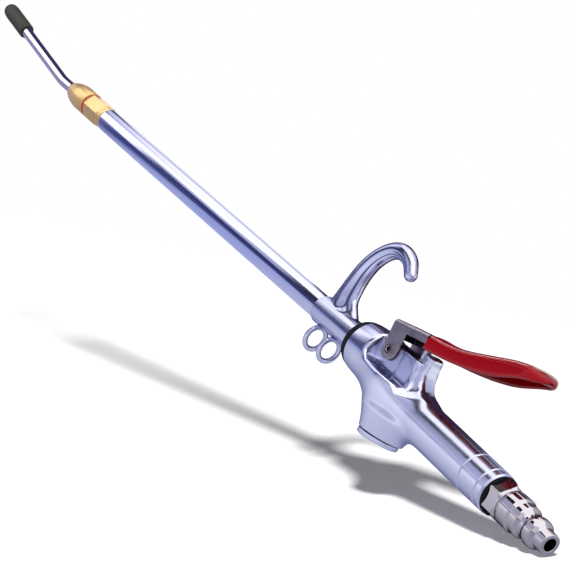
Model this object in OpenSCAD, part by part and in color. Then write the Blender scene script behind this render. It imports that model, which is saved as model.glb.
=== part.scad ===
// Pneumatic air duster: a hand-held blow gun with a long barrel, a squeeze
// lever, a hanging hook and a bent nozzle tube with a rubber tip.
// Millimetres. Origin: centre of the inlet plug's nose face. +X runs forward
// to the tip, +Z is up, where the lever and the hook are, +Y is left.
// Lengths along the handle axis, the barrel axis and the valve axis are
// measured in the frames that on_handle, on_barrel and on_valve set up.

/* [Axes] */
// height of the barrel axis above the plug's nose
barrel_rise = 8.9; // [8.4:0.1:9.4]
// how far the handle tilts up toward the valve, degrees
handle_tilt = 1.5; // [1:0.1:2]
// where the valve axis leaves the bottom of the body, along X
valve_x = 92.6; // [91.6:0.1:93.6]
// how far the bottom face of the body is below the barrel axis
valve_drop = 20.1; // [19.6:0.1:21]
// forward lean of the valve axis, degrees
valve_lean = 3.2; // [2:0.1:4]

/* [Inlet plug] */
// radius of the plug's nose, a quarter-inch interchange plug
nose_r = 3.95; // [3.9:0.01:4]
// length of the straight nose
nose_len = 4.3; // [4:0.1:4.6]
// radius of the round rib behind the nose
rib_r = 5.5; // [5.3:0.05:5.6]
// radius of the locking groove
neck_r = 4.7; // [4.5:0.05:4.8]
// radius of the shank behind the groove
shank_r = 5.95; // [5.8:0.05:6]
// radius of the flare before the hexagon
flare_r = 6.55; // [6.4:0.05:6.7]
// radius of the air bore through the plug
plug_bore_r = 2.4; // [2.2:0.1:2.7]
// width across the flats of the plug's hexagon
plug_hex_af = 12.7; // [12.4:0.1:13]
// where the hexagon starts along the handle axis
plug_hex_at = 23.7; // [23.5:0.1:24]
// where the handle's end face is
handle_end = 30.9; // [30.6:0.1:31.2]
// thickness of the sealing washer
washer_t = 1.2; // [1:0.1:1.4]
// outer radius of the sealing washer
washer_r = 7.35; // [7.1:0.05:7.5]
// radius of the plug's threaded end
plug_thread_r = 4.9; // [4.7:0.1:5.1]
// depth of the threaded end in the handle
plug_thread_len = 7.1; // [6:0.1:8]

/* [Body casting] */
// radius of the round handle
handle_r = 7.72; // [7.5:0.02:7.9]
// width of the chamfer at the handle's end
handle_chamfer = 0.9; // [0.5:0.1:1.2]
// first groove round the handle
groove_a_at = 34.75; // [34.5:0.1:35.5]
// second groove round the handle
groove_b_at = 44.25; // [43:0.1:46]
// width of a groove
groove_w = 1.3; // [1:0.1:1.5]
// depth of a groove
groove_deep = 0.6; // [0.4:0.1:0.7]
// where the blended casting starts
skin_from = 72; // [70:0.5:74]
// where the round handle ends inside the casting
handle_to = 90; // [88:0.5:92]
// x of the body's front face
mouth_x = 121.5; // [121:0.1:122]
// radius of the front face
mouth_r = 9.4; // [9.3:0.05:9.5]
// full radius of the front hub
hub_r = 10.5; // [10.3:0.05:10.7]
// x where the hub begins to taper to its front face
hub_taper_x = 105; // [103:0.5:108]
// x of the hub's rounded rear end
hub_rear_x = 98.5; // [97:0.5:100]
// radius of the valve boss that points down
boss_r = 8.05; // [7.95:0.05:8.2]
// height on the valve axis where the boss rounds off
boss_top = 13; // [12:0.5:14]
// size of the blend between hub and boss
blend_big = 16; // [14:0.5:18]
// size of the blend to the handle
blend_small = 6; // [5.5:0.5:6.5]

/* [Lever tower on the casting] */
// radius of the tower round the valve stem
tower_r = 6.4; // [6.3:0.05:6.45]
// half width of the tower between its flats
tower_half = 5.45; // [5.35:0.05:5.5]
// half width of the tongue that holds the pin
tongue_half = 5.2; // [5.1:0.05:5.25]
// top of the tower above the barrel axis
tower_top = 9.6; // [9.2:0.1:9.8]
// x where the pocket's floor ends over the handle
pocket_rear_x = 88; // [87.6:0.1:88.4]
// x where the pocket's rounded front end is
pocket_front_x = 111.2; // [110.5:0.1:112]
// height of the pocket's floor above the barrel axis
pocket_floor = -0.3; // [-0.8:0.1:0.2]
// height of the guard hump behind the stem
guard_top = 13.4; // [13:0.1:13.5]
// half width of the guard hump
guard_half = 3.6; // [3:0.1:4]
// x of the guard hump's rear wall
guard_rear_x = 87.3; // [87:0.1:87.5]
// x of the guard hump's front wall
guard_front_x = 91.4; // [91:0.1:91.6]

/* [Valve] */
// radius of the chamber the poppet works in
chamber_r = 5.9; // [5.7:0.1:6]
// height of the valve seat on the valve axis
seat_v = 16.8; // [16.5:0.1:17]
// radius of the hole through the seat
seat_port_r = 2.8; // [2.6:0.1:2.9]
// top of the hole through the seat
port_top = 22.4; // [22:0.1:22.6]
// radius of the inlet bore in the handle
inlet_bore_r = 3; // [2.8:0.1:3.1]
// radius of the outlet bore to the barrel
outlet_bore_r = 3.1; // [2.9:0.1:3.2]
// radius of the valve stem
stem_r = 1.5; // [1.45:0.05:1.5]
// height of the stem's top above the barrel axis
stem_top = 17.6; // [17.5:0.05:17.7]
// radius of the stem's guide bush
bush_r = 3.1; // [3:0.05:3.2]
// running clearance between the stem and its bush
stem_play = 0.05; // [0.03:0.01:0.08]
// thickness of the stem seal's rubber
oring_t = 0.9; // [0.8:0.05:1]
// radius of the poppet
poppet_r = 4.2; // [4:0.1:4.4]
// thickness of the poppet's plate
poppet_t = 3.5; // [3.2:0.1:3.6]
// thickness of the poppet's rubber face
poppet_seal_t = 1.3; // [1.2:0.1:1.5]
// radius of the poppet's spring guide
guide_r = 1.8; // [1.6:0.1:1.9]
// radius of the valve cap's head
cap_r = 7.9; // [7.7:0.05:8]
// height of the valve cap's head
cap_h = 1.8; // [1.6:0.1:2.2]
// thickness of the gasket under the cap
gasket_t = 0.5; // [0.4:0.05:0.6]
// depth of the cap's spring pocket floor above the body's bottom
cap_floor = 2; // [1.8:0.1:2.3]
// top of the cap's threaded plug
cap_plug_top = 6; // [5.8:0.1:6.5]
// thickness of the spring's wire
wire_t = 0.8; // [0.7:0.05:0.85]
// mean radius of the spring
coil_r = 2.45; // [2.4:0.02:2.5]
// turns of the spring
coil_turns = 4.5; // [4:0.5:5]

/* [Hook collar] */
// radius of the collar on the barrel
collar_r = 5.4; // [5.3:0.05:5.5]
// x of the collar's front end
collar_front_x = 151.2; // [151:0.1:152]
// x of the collar's rear end inside the body
collar_rear_x = 113; // [112:0.5:114]
// x of the shoulder the barrel's turned end reaches
socket_x = 141; // [140:0.5:142]
// radius of the barrel's turned end
turned_r = 4.2; // [4.1:0.05:4.25]
// half thickness of the hook across its own plane
hook_side = 3.1; // [2.9:0.05:3.2]
// mean radius of a hanging ring
ring_r = 4.3; // [4.2:0.05:4.4]
// half thickness of a hanging ring
ring_wire_r = 0.95; // [0.9:0.05:1]
// x of the front ring
ring_a_x = 146.6; // [146.4:0.1:147]
// x of the rear ring
ring_b_x = 137.3; // [137:0.1:137.6]
// depth of the rings' centres below the barrel axis
ring_drop = 9.75; // [9.6:0.05:9.8]
// x of the front end of the black joint ring
joint_ring_x = 125.4; // [125:0.1:125.8]

/* [Barrel and nozzle] */
// radius of the barrel tube
barrel_r = 4.75; // [4.7:0.01:4.8]
// radius of the barrel's air bore
barrel_bore_r = 3.75; // [3.6:0.05:3.8]
// x of the barrel's front end
barrel_front_x = 318.6; // [316:0.2:320]
// length of the brass spigot in the barrel
spigot_len = 12; // [10:0.5:14]
// width across the flats of the brass hexagon
brass_hex_af = 9.2; // [9:0.1:9.4]
// length of the brass collar before the hexagon
brass_collar_len = 2.4; // [2:0.1:2.8]
// length of the brass hexagon
brass_hex_len = 11.4; // [11:0.1:12]
// radius of the brass thread
brass_thread_r = 3.6; // [3.5:0.05:3.7]
// length of the brass thread
brass_thread_len = 8.6; // [8.4:0.1:8.8]
// thickness of the red-brown washer
red_washer_t = 1.2; // [1:0.1:1.4]
// radius of the gland nut
nut_r = 5.05; // [5:0.05:5.1]
// length of the gland nut
nut_len = 16.4; // [16:0.1:16.8]
// length of the sealing ferrule
ferrule_len = 3.6; // [3.4:0.1:3.8]
// radius of the sealing ferrule
ferrule_r = 3.4; // [3.3:0.05:3.45]
// radius of the bent nozzle tube
tube_r = 2.2; // [2.15:0.05:2.25]
// radius of the nozzle tube's bore
tube_bore_r = 1.5; // [1.4:0.05:1.6]
// x where the nozzle tube starts to bend
bend_x = 357; // [356:0.5:358]
// radius of the nozzle tube's bend
bend_r = 30; // [28:1:34]
// angle of the nozzle tube's bend, degrees
bend_angle = 7.7; // [7:0.1:8.2]
// length of the nozzle tube after its bend
tube_straight = 56.2; // [54.5:0.1:57.5]
// radius of the rubber tip
tip_r = 3.2; // [3.1:0.05:3.3]
// length of the rubber tip
tip_len = 20; // [19:0.1:21]
// how far the nozzle tube goes into the tip
tip_grip = 17.7; // [17:0.1:18.4]
// length of the tip's rounded end
tip_dome = 3; // [2.5:0.1:3.5]
// radius of the tip's air hole
tip_hole_r = 1.2; // [1.1:0.05:1.4]

/* [Lever] */
// x of the lever's pivot
pivot_x = 104.8; // [104.5:0.1:105.1]
// height of the pivot above the barrel axis
pivot_z = 6.4; // [6.2:0.1:6.6]
// rise of the lever toward the rear, degrees
lever_rise = 9.7; // [9.3:0.1:10.1]
// thickness of the lever's sheet
sheet_t = 1; // [0.95:0.05:1]
// half of the lever's outside width
lever_half = 6.5; // [6.45:0.01:6.6]
// radius of the ears round the pivot
ear_r = 3.75; // [3.6:0.05:3.9]
// height of the lever's top face above the pivot
lever_top = 10.7; // [10.5:0.05:10.8]
// height of the flanges' lower edge above the pivot
flange_low = 7.2; // [7:0.1:7.4]
// radius of the lever's outside bends
lever_bend_r = 1.6; // [1.5:0.1:1.8]
// distance from the pivot to where the grip starts
grip_from = 13.8; // [13.5:0.1:14]
// length of the steel tongue inside the grip, from the pivot
core_to = 24; // [20:0.5:26]
// radius of the tubular pivot pin
pin_r = 1.6; // [1.5:0.05:1.7]
// radius of the hole in the pivot pin
pin_hole_r = 1.1; // [1:0.05:1.2]
// radius of the pin's flared ends
pin_flare_r = 2.1; // [2:0.05:2.2]
// thickness of the pin's flared ends
pin_flare_t = 0.5; // [0.4:0.05:0.6]
// thickness of the grip's rubber
grip_t = 1.4; // [1.3:0.05:1.5]
// half width of the grip's front end
grip_half = 6.9; // [6.7:0.05:7]
// half width of the grip's rear end
grip_half_rear = 7.3; // [7.1:0.05:7.4]

/* [Smoothness] */
// sides of the round pieces that stay exact
round_sides = 64; // [48:8:96]
// stations along the blended casting
skin_stations = 44; // [36:2:60]
// points round the blended casting
skin_points = 48; // [40:4:64]

/* [Hidden] */
$fn = round_sides;
// parts of a millimetre and plain counts used below
half = 0.5;
over = 0.5;
slit = 0.02;
skin_proud = 0.06;
boss_slim = 0.3;
step_t = 0.1;
stem_room = 0.3;
quarter_turn = 90;
half_turn = 180;
full_turn = 360;
hex_sides = 6;
hook_sides = 20;
hook_steps = 3;
tube_steps = 8;
tube_sides = 40;
coil_steps = 20;
coil_sides = 10;
march_steps = 16;

casting_col = [0.66, 0.67, 0.80];
nickel_col = [0.80, 0.80, 0.82];
steel_col = [0.55, 0.52, 0.55];
brass_col = [0.86, 0.70, 0.42];
rubber_col = [0.09, 0.09, 0.09];
tip_col = [0.24, 0.24, 0.22];
grip_col = [0.62, 0.02, 0.06];
red_washer_col = [0.30, 0.08, 0.06];

// the three working frames
module on_barrel() translate([0, 0, barrel_rise]) children();
module on_handle() rotate([0, -handle_tilt, 0]) children();
module on_valve() on_barrel() translate([valve_x, 0, -valve_drop])
    rotate([0, valve_lean, 0]) children();
module on_pivot() on_barrel() translate([pivot_x, 0, pivot_z]) children();
// the lever's frame: +X runs rearward along the lever, +Z is its normal
module on_lever() on_pivot() rotate([0, lever_rise, 0])
    rotate([0, 0, half_turn]) children();

// a revolve about X from points [along, radius]
module turned(points) rotate([0, quarter_turn, 0])
    rotate_extrude() polygon([for (p = points) [p[1], p[0]]]);
// a round rod along X
module rod(from, to, r) translate([from, 0, 0])
    rotate([0, quarter_turn, 0]) cylinder(r = r, h = to - from);
// a revolve about Z from points [radius, height]
module turned_up(points) rotate_extrude() polygon(points);
// a box from one corner to the other
module span(low, high) translate(low) cube(high - low);
// a prism across Y from a side outline of [x, z] points
module side_cut(points, low, high) translate([0, high, 0])
    rotate([quarter_turn, 0, 0]) linear_extrude(high - low) polygon(points);
// a hexagonal prism along X with chamfered corners at its rear end
module hex_bar(from, to, af, turn, cham, both) intersection() {
    translate([from, 0, 0]) rotate([0, quarter_turn, 0]) rotate([0, 0, turn])
        cylinder(r = af / 2 / cos(half_turn / hex_sides), h = to - from, $fn = hex_sides);
    hex_cone(from, to, af / 2, af / 2 / cos(half_turn / hex_sides), cham, both);
}
module hex_cone(from, to, flat_r, corner_r, cham, both) turned([
    [from, 0], [from, flat_r], [from + cham, corner_r + slit],
    [to - (both ? cham : 0), corner_r + slit], [to, both ? flat_r : corner_r + slit],
    [to, 0]]);

// a closed mesh from a list of rings, each with the same number of points
function ring_faces(rings, sides) = concat(
    [[for (j = [0:sides - 1]) j]],
    [for (i = [0:rings - 2]) for (j = [0:sides - 1])
        let (a = i * sides + j, b = i * sides + (j + 1) % sides)
        [a, a + sides, b + sides, b]],
    [[for (j = [sides - 1:-1:0]) (rings - 1) * sides + j]]);
module ring_mesh(rings) polyhedron(points = [for (r = rings) for (p = r) p],
    faces = ring_faces(len(rings), len(rings[0])), convexity = 8);

// Blend two distances: the smaller one, rounded over a width k where they meet
function soft_min(a, b, k) = let (h = max(k - abs(a - b), 0))
    min(a, b) - h * h / (4 * k);

// distance to the front hub, a rod with a rounded rear and a tapering front
function hub_radius(x) = let (t = max(x - hub_taper_x, 0) / (mouth_x - hub_taper_x))
    hub_r - (hub_r - mouth_r) * t * t;
function hub_dist(x, y, z) = let (s = max(x, hub_rear_x))
    norm([x - s, y, z]) - hub_radius(s);
// distance to the round handle, in the barrel's frame
function handle_dist(x, y, z) = let (
    a = x * cos(handle_tilt) + (z + barrel_rise) * sin(handle_tilt),
    b = (z + barrel_rise) * cos(handle_tilt) - x * sin(handle_tilt))
    norm([max(a - handle_to, 0), y, b]) - (handle_r + skin_proud);
// distance to the boss that holds the valve
function boss_dist(x, y, z) = let (
    v = (x - valve_x) * sin(valve_lean) + (z + valve_drop) * cos(valve_lean),
    w = (x - valve_x) * cos(valve_lean) - (z + valve_drop) * sin(valve_lean))
    norm([max(v - boss_top, 0), w, y]) - (boss_r - boss_slim);
// the blend to the handle widens toward the underside
function blend_at(z) = blend_small * (1 + half * min(max(-2 * (z / barrel_rise + 1), 0), 1));
// distance to the whole blended casting
function skin_dist(x, y, z) = soft_min(
    soft_min(hub_dist(x, y, z), boss_dist(x, y, z), blend_big),
    handle_dist(x, y, z), blend_at(z));
// walk outward from the middle line until the blended surface is met
function walk(x, c, s, zc, r, n) = n == 0 ? r :
    walk(x, c, s, zc, r - skin_dist(x, r * c, zc + r * s), n - 1);
// height of the middle line the rings are drawn about
skin_mid_share = 0.35; // share(s)
function handle_mid(x) = x * tan(handle_tilt) - barrel_rise;
function skin_mid(x) = x < valve_x
    ? handle_mid(x) * (1 - skin_mid_share * (x - skin_from) / (valve_x - skin_from))
    : handle_mid(valve_x) * (1 - skin_mid_share) * (mouth_x - x) / (mouth_x - valve_x);
// stations are closer together under the boss
function station(i) = skin_from + (mouth_x - skin_from) * i / (skin_stations - 1);
// the lowest a ring's point may go: just under the boss's flat face
function floor_limit(s, zc) = s < 0 ? (valve_drop + 2 * over + zc) / -s : mouth_x;
function skin_ring(x) = let (zc = skin_mid(x)) [for (j = [0:skin_points - 1])
    let (t = full_turn * j / skin_points, c = cos(t), s = sin(t),
         r = min(walk(x, c, s, zc, handle_r * half, march_steps), floor_limit(s, zc)))
    [x, r * c, zc + r * s]];

module casting_skin() on_barrel() difference() {
    ring_mesh([for (i = [0:skin_stations - 1]) skin_ring(station(i))]);
    translate([valve_x, 0, -valve_drop]) rotate([0, valve_lean, 0])
        translate([-mouth_x, -mouth_x, -mouth_x]) cube([2 * mouth_x, 2 * mouth_x, mouth_x]);
}

// the turned handle with its chamfer and grooves, cut from the handle axis
module handle_rod() on_handle() turned([
    [handle_end, 0], [handle_end, handle_r - handle_chamfer],
    [handle_end + handle_chamfer, handle_r],
    [groove_a_at - groove_w / 2, handle_r], [groove_a_at, handle_r - groove_deep],
    [groove_a_at + groove_w / 2, handle_r],
    [groove_b_at - groove_w / 2, handle_r], [groove_b_at, handle_r - groove_deep],
    [groove_b_at + groove_w / 2, handle_r],
    [skin_from + 4 * over, handle_r], [skin_from + 4 * over, 0]]);

// the guard hump's rear outline, from the handle's top to its own top:
// [distance from the rear wall, height above the barrel axis]
guard_line = [[-6.6, 0.5], [-4.6, 1.5], [-3.1, 2.8], [-2.1, 4.5], [-1.3, 7],
              [-0.5, 10], [0.2, 12.2], [0.7, 13.1], [1.4, 13.4]];
// the tower round the stem, its tongue for the pin and the guard hump
tongue_front_gap = 0.5; // share(s)
module tower() {
    intersection() {
        on_valve() cylinder(r = tower_r, h = valve_drop + tower_top);
        on_barrel() span([0, -tower_half, -valve_drop],
                         [mouth_x, tower_half, tower_top]);
    }
    on_barrel() side_cut([
        [valve_x + tower_r * half, pocket_floor - hub_r * half],
        [pocket_front_x + 2 * over, pocket_floor - hub_r * half],
        [pocket_front_x + 2 * over, pivot_z],
        [pivot_x + ear_r, tower_top - step_t],
        [valve_x + tower_r * half, tower_top - step_t]], -tongue_half, tongue_half);
    on_barrel() side_cut(concat([for (p = guard_line) [guard_rear_x + p[0], p[1]]], [
        [guard_front_x - half, guard_top], [guard_front_x, guard_top - half],
        [guard_front_x, -handle_r], [guard_rear_x + guard_line[0][0], -handle_r]]),
        -guard_half, guard_half);
}

// the pocket milled beside the tower for the lever's ears
pocket_end_r = 3.4;
pocket_slope = 0.8;
module ear_pocket(side) on_barrel() mirror([0, side, 0]) difference() {
    translate([0, mouth_x * half, 0]) rotate([quarter_turn, 0, 0])
        linear_extrude(mouth_x * half - tongue_half * half) union() {
        polygon([[pocket_rear_x, pocket_floor - pocket_slope],
                 [pocket_front_x - pocket_end_r, pocket_floor],
                 [pocket_front_x - pocket_end_r, mouth_r * 2],
                 [pocket_rear_x, mouth_r * 2]]);
        translate([pocket_front_x - pocket_end_r, pocket_floor + pocket_end_r])
            circle(r = pocket_end_r);
        translate([pocket_front_x - pocket_end_r, pocket_floor + pocket_end_r])
            square([pocket_end_r, mouth_r * 2]);
    }
    span([skin_from, -handle_r, -valve_drop],
         [pocket_front_x + over, tongue_half + step_t, mouth_r * 3]);
}

// the gap over the tongue where the lever's plate swings
module top_clear() on_barrel() side_cut([
    [pivot_x - ear_r, tower_top], [pivot_x + ear_r, tower_top],
    [pocket_front_x, pivot_z], [pocket_front_x + over, mouth_r * 2],
    [pivot_x - ear_r, mouth_r * 2]], -mouth_r, mouth_r);

// the casting's skin with the room for the lever cut away above the handle
module skin_with_room() difference() {
    casting_skin();
    ear_pocket(0);
    ear_pocket(1);
    on_barrel() span([skin_from, -mouth_r, tower_top - 2 * step_t],
                     [pocket_front_x - over, mouth_r, 2 * hub_r]);
    tower_rear_room();
}
// behind the tower the skin falls away to the handle's top
rear_room_z = 1;
module tower_rear_room() on_barrel() span(
    [skin_from, -hub_r, rear_room_z], [guard_rear_x + step_t, hub_r, 2 * hub_r]);

module body_bores() {
    on_handle() rod(handle_end - over, handle_end + plug_thread_len + over, plug_thread_r);
    on_handle() rod(handle_end, valve_x - over, inlet_bore_r);
    on_valve() translate([0, 0, -over]) cylinder(r = chamber_r, h = seat_v + over);
    on_valve() cylinder(r = seat_port_r, h = port_top);
    on_valve() cylinder(r = stem_r + stem_room, h = bush_from);
    on_valve() translate([0, 0, bush_from - oring_t])
        cylinder(r = bush_r, h = valve_drop + 2 * tower_top);
    on_barrel() rod(valve_x + over, mouth_x + over, outlet_bore_r);
    on_barrel() rod(collar_rear_x, mouth_x + over, collar_r);
    on_pivot() rotate([quarter_turn, 0, 0])
        cylinder(r = pin_r + slit, h = 4 * tongue_half, center = true);
}

module gun_body() {
    color(casting_col) difference() {
        union() {
            handle_rod();
            skin_with_room();
            tower();
        }
        body_bores();
    }
}

// the hook's middle line from its foot to its tip: [x, height above the
// barrel axis, half thickness in the hook's plane]
hook_line = [[141.8, 2.9, 9.3], [143.47, 8.55, 5.83], [143.67, 14.5, 4.53],
             [143.15, 20.37, 3.9], [141.43, 25.72, 3.43], [138.5, 30.18, 3.12],
             [134.68, 33.3, 3.05], [130.17, 34.35, 3.02], [125.65, 33.17, 2.79],
             [122.11, 29.82, 2.48]];
hook_last = len(hook_line) - 1;
// a smooth curve through four neighbours, between the middle two
function smooth4(a, b, c, d, t) = half * (2 * b + (c - a) * t
    + (2 * a - 5 * b + 4 * c - d) * t * t + (3 * (b - c) + d - a) * t * t * t);
function hook_knot(i) = hook_line[min(max(i, 0), hook_last)];
function hook_path(n) = let (i = min(floor(n / hook_steps), hook_last - 1),
    t = n / hook_steps - i)
    smooth4(hook_knot(i - 1), hook_knot(i), hook_knot(i + 1), hook_knot(i + 2), t);
hook_rings = hook_steps * hook_last;
function hook_way(n) = hook_path(min(n + half, hook_rings)) - hook_path(max(n - half, 0));
function unit2(v) = v / norm(v);
// points of one ring: across Y, and across the hook's own plane
function hook_ring(c, way, r, side) = [for (j = [0:hook_sides - 1])
    let (t = full_turn * j / hook_sides, u = r * cos(t), w = side * sin(t))
    [c[0] + u * way[1], w, c[1] - u * way[0]]];
// after the last ring the tip is rounded by a few smaller rings
tip_round = [0.5, 0.8, 0.95];
function tip_ring(c, way, r, s) = hook_ring([c[0] + r * s * way[0], c[1] + r * s * way[1]],
    way, r * sqrt(1 - s * s), r * sqrt(1 - s * s));
module hook() on_barrel() ring_mesh(concat(
    [for (n = [0:hook_rings]) let (c = hook_path(n), v = hook_way(n))
        hook_ring(c, unit2([v[0], v[1]]), c[2], min(c[2], hook_side))],
    [for (s = tip_round) let (c = hook_path(hook_rings), v = hook_way(hook_rings))
        tip_ring(c, unit2([v[0], v[1]]), c[2], s)]));

module hanging_ring(x) on_barrel() translate([x, 0, -ring_drop])
    rotate([0, quarter_turn, 0]) rotate_extrude()
    translate([ring_r, 0]) circle(r = ring_wire_r, $fn = round_sides / 2);

module collar_cut() on_barrel() {
    rod(socket_x, collar_front_x + over, turned_r);
    rod(collar_rear_x - over, collar_front_x, outlet_bore_r);
}

module hook_collar() {
    color(casting_col) difference() {
        union() {
            on_barrel() turned([
                [collar_rear_x, 0], [collar_rear_x, collar_r - slit],
                [mouth_x, collar_r - slit], [mouth_x, collar_r],
                [collar_front_x - half, collar_r], [collar_front_x, collar_r - half],
                [collar_front_x, 0]]);
            hook();
            hanging_ring(ring_a_x);
            hanging_ring(ring_b_x);
        }
        collar_cut();
    }
}

module barrel_tube() {
    color(casting_col) on_barrel() difference() {
        turned([
            [socket_x, 0], [socket_x, turned_r - slit], [collar_front_x, turned_r - slit],
            [collar_front_x, barrel_r], [barrel_front_x - half, barrel_r],
            [barrel_front_x, barrel_r - half], [barrel_front_x, 0]]);
        rod(collar_front_x, barrel_front_x + over, barrel_bore_r);
        rod(socket_x - over, barrel_front_x, outlet_bore_r);
    }
}

joint_ring_front_r = 8.3;
joint_ring_rear_r = 9.2;
module front_seal() {
    color(rubber_col) on_barrel() difference() {
        turned([
            [mouth_x, 0], [mouth_x, joint_ring_rear_r],
            [(mouth_x + joint_ring_x) * half, joint_ring_rear_r - half * half],
            [joint_ring_x, joint_ring_front_r], [joint_ring_x, 0]]);
        rod(mouth_x - over, joint_ring_x + over, collar_r + slit);
    }
}

// the lever's cross-section: an upside-down channel, seen along the lever
module channel(half_w, top, low, t, bend, from, to) translate([from, 0, 0])
    rotate([quarter_turn, 0, quarter_turn]) linear_extrude(to - from) difference() {
        union() {
            translate([-half_w, low]) square([2 * half_w, top - bend - low]);
            translate([-half_w + bend, low]) square([2 * (half_w - bend), top - low]);
            for (s = [-1, 1])
                translate([s * (half_w - bend), top - bend]) circle(r = bend);
        }
        translate([-half_w + t, low - over])
            square([2 * (half_w - t), top - t - low + over]);
    }

// the ears: a tapering side outline that rounds about the pivot
ear_back = 4;
ear_front = 3.6;
module ear_outline() union() {
    circle(r = ear_r);
    polygon([[-ear_front, 0], [ear_back, 0], [ear_back, lever_top], [-ear_front, lever_top]]);
    translate([-ear_front, flange_low]) square([grip_from + ear_front, lever_top - flange_low]);
}
module ear_sides() rotate([quarter_turn, 0, 0])
    linear_extrude(4 * lever_half, center = true) ear_outline();

core_low_share = 0.5; // share(s)
module lever() {
    color(steel_col) on_lever() difference() {
        union() {
            intersection() {
                channel(lever_half, lever_top, -2 * ear_r, sheet_t, lever_bend_r,
                        -ear_front, grip_from);
                ear_sides();
            }
            lever_core();
        }
        rotate([quarter_turn, 0, 0])
            cylinder(r = pin_r + stem_play, h = 4 * lever_half, center = true);
    }
}
// the flat steel tongue that goes on inside the grip
module lever_core() span(
    [grip_from - slit, -lever_half * core_low_share, lever_top - sheet_t],
    [core_to, lever_half * core_low_share, lever_top]);

grip_x0 = 94;
// the grip's side outline in the barrel's frame, rear to front: [x, height]
grip_top_line = [[grip_x0, 19.2], [89.5, 19.9], [84.7, 20.6], [78, 22.1], [72.3, 23.9],
                 [65, 26.5], [58.9, 28.8], [53.5, 30.9], [49.1, 32.3], [46, 33.1],
                 [43.3, 33.5], [40.5, 33.6], [38.8, 33.2], [37.6, 32.2]];
grip_low_line = [[grip_x0, 13.4], [90, 14.1], [85.8, 14.6], [77.9, 16.1], [72, 17.4],
                 [67, 18.6], [60, 20.8], [56.5, 22.1], [53.6, 23.4], [50.5, 25],
                 [47.6, 26.5], [45.5, 27.5], [43.2, 28.3], [40.5, 29.2], [38.6, 30],
                 [37.6, 31]];
function back(list) = [for (i = [len(list) - 1:-1:0]) list[i]];
module grip_side(top, low) polygon(concat(top, back(low)));
// the plan outline: straight sides and a nose that is half an ellipse
module grip_plan(half_front, half_rear, nose, x_from, x_end) polygon(concat(
    [[x_from, -half_front], [x_from, half_front]],
    [for (a = [0:nose_step:half_turn])
        [x_end + nose * (1 - sin(a)), half_rear * cos(a)]]));
grip_end_x = 37.4;
grip_nose = 9;
nose_step = 9;
// the rubber block: side outline crossed with the plan outline
module grip_block() intersection() {
    rotate([quarter_turn, 0, 0]) linear_extrude(4 * grip_half_rear, center = true)
        grip_side(grip_top_line, grip_low_line);
    translate([0, 0, -valve_drop]) linear_extrude(4 * valve_drop)
        grip_plan(grip_half, grip_half_rear, grip_nose, grip_x0, grip_end_x);
}
module grip_hollow() intersection() {
    translate([0, 0, -grip_t]) rotate([quarter_turn, 0, 0])
        linear_extrude(4 * grip_half_rear, center = true)
        grip_side(grip_top_line, [for (p = grip_low_line) [p[0], p[1] - 2 * grip_t]]);
    translate([0, 0, -valve_drop]) linear_extrude(4 * valve_drop)
        grip_plan(grip_half - grip_t, grip_half_rear - grip_t, grip_nose - grip_t,
                  grip_x0 + over, grip_end_x + grip_t);
}
module lever_grip() {
    color(grip_col) difference() {
        on_barrel() difference() {
            grip_block();
            grip_hollow();
        }
        on_lever() span([-ear_front, -2 * lever_half, -ear_r],
                        [grip_from, 2 * lever_half, 2 * lever_top]);
        on_lever() lever_core();
    }
}

module lever_pin() {
    color(steel_col) on_pivot() rotate([quarter_turn, 0, 0]) difference() {
        union() {
            cylinder(r = pin_r, h = 2 * lever_half, center = true);
            for (s = [-1, 1])
                translate([0, 0, s * (lever_half + pin_flare_t * half)])
                    cylinder(r = pin_flare_r, h = pin_flare_t, center = true);
        }
        cylinder(r = pin_hole_r, h = 4 * lever_half, center = true);
    }
}

stem_v_top = (valve_drop + stem_top) / cos(valve_lean);
bush_from = 24;
bush_to = (valve_drop + tower_top) / cos(valve_lean);
module valve_stem() {
    color(nickel_col) on_valve() turned_up([
        [0, seat_v], [stem_r, seat_v], [stem_r, stem_v_top - half],
        [stem_r - half, stem_v_top], [0, stem_v_top]]);
}
module stem_bush() {
    color(brass_col) on_valve() difference() {
        translate([0, 0, bush_from]) cylinder(r = bush_r - slit, h = bush_to - bush_from);
        cylinder(r = stem_r + stem_play, h = bush_to + over);
    }
}
module stem_oring() {
    color(rubber_col) on_valve() translate([0, 0, bush_from - oring_t * half])
        rotate_extrude() translate([stem_r + slit + oring_t * half, 0])
        circle(r = oring_t * half, $fn = round_sides / 2);
}
poppet_low = seat_v - poppet_seal_t - poppet_t;
guide_low = poppet_low - poppet_t;
module valve_poppet() {
    color(brass_col) on_valve() turned_up([
        [0, guide_low], [guide_r, guide_low], [guide_r, poppet_low],
        [poppet_r, poppet_low], [poppet_r, seat_v - poppet_seal_t],
        [stem_r + slit, seat_v - poppet_seal_t], [0, seat_v - poppet_seal_t]]);
}
module poppet_seal() {
    color(rubber_col) on_valve() translate([0, 0, seat_v - poppet_seal_t])
        cylinder(r = poppet_r - half * half, h = poppet_seal_t);
}

// the spring as a sweep of a round wire, flat on its last turn at each end
spring_low = cap_floor + wire_t * half;
spring_high = poppet_low - wire_t * half;
function coil_point(t) = let (a = full_turn * coil_turns * t)
    [coil_r * cos(a), coil_r * sin(a), spring_low + (spring_high - spring_low) * t];
function coil_ring(t) = let (a = full_turn * coil_turns * t, c = coil_point(t))
    [for (j = [0:coil_sides - 1]) let (b = -full_turn * j / coil_sides,
        u = (wire_t * half - slit) * cos(b), w = (wire_t * half - slit) * sin(b))
        [c[0] + u * cos(a), c[1] + u * sin(a), c[2] + w]];
module valve_spring() {
    color(steel_col) on_valve() ring_mesh([for (i = [0:coil_steps * coil_turns])
        coil_ring(i / (coil_steps * coil_turns))]);
}

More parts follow.
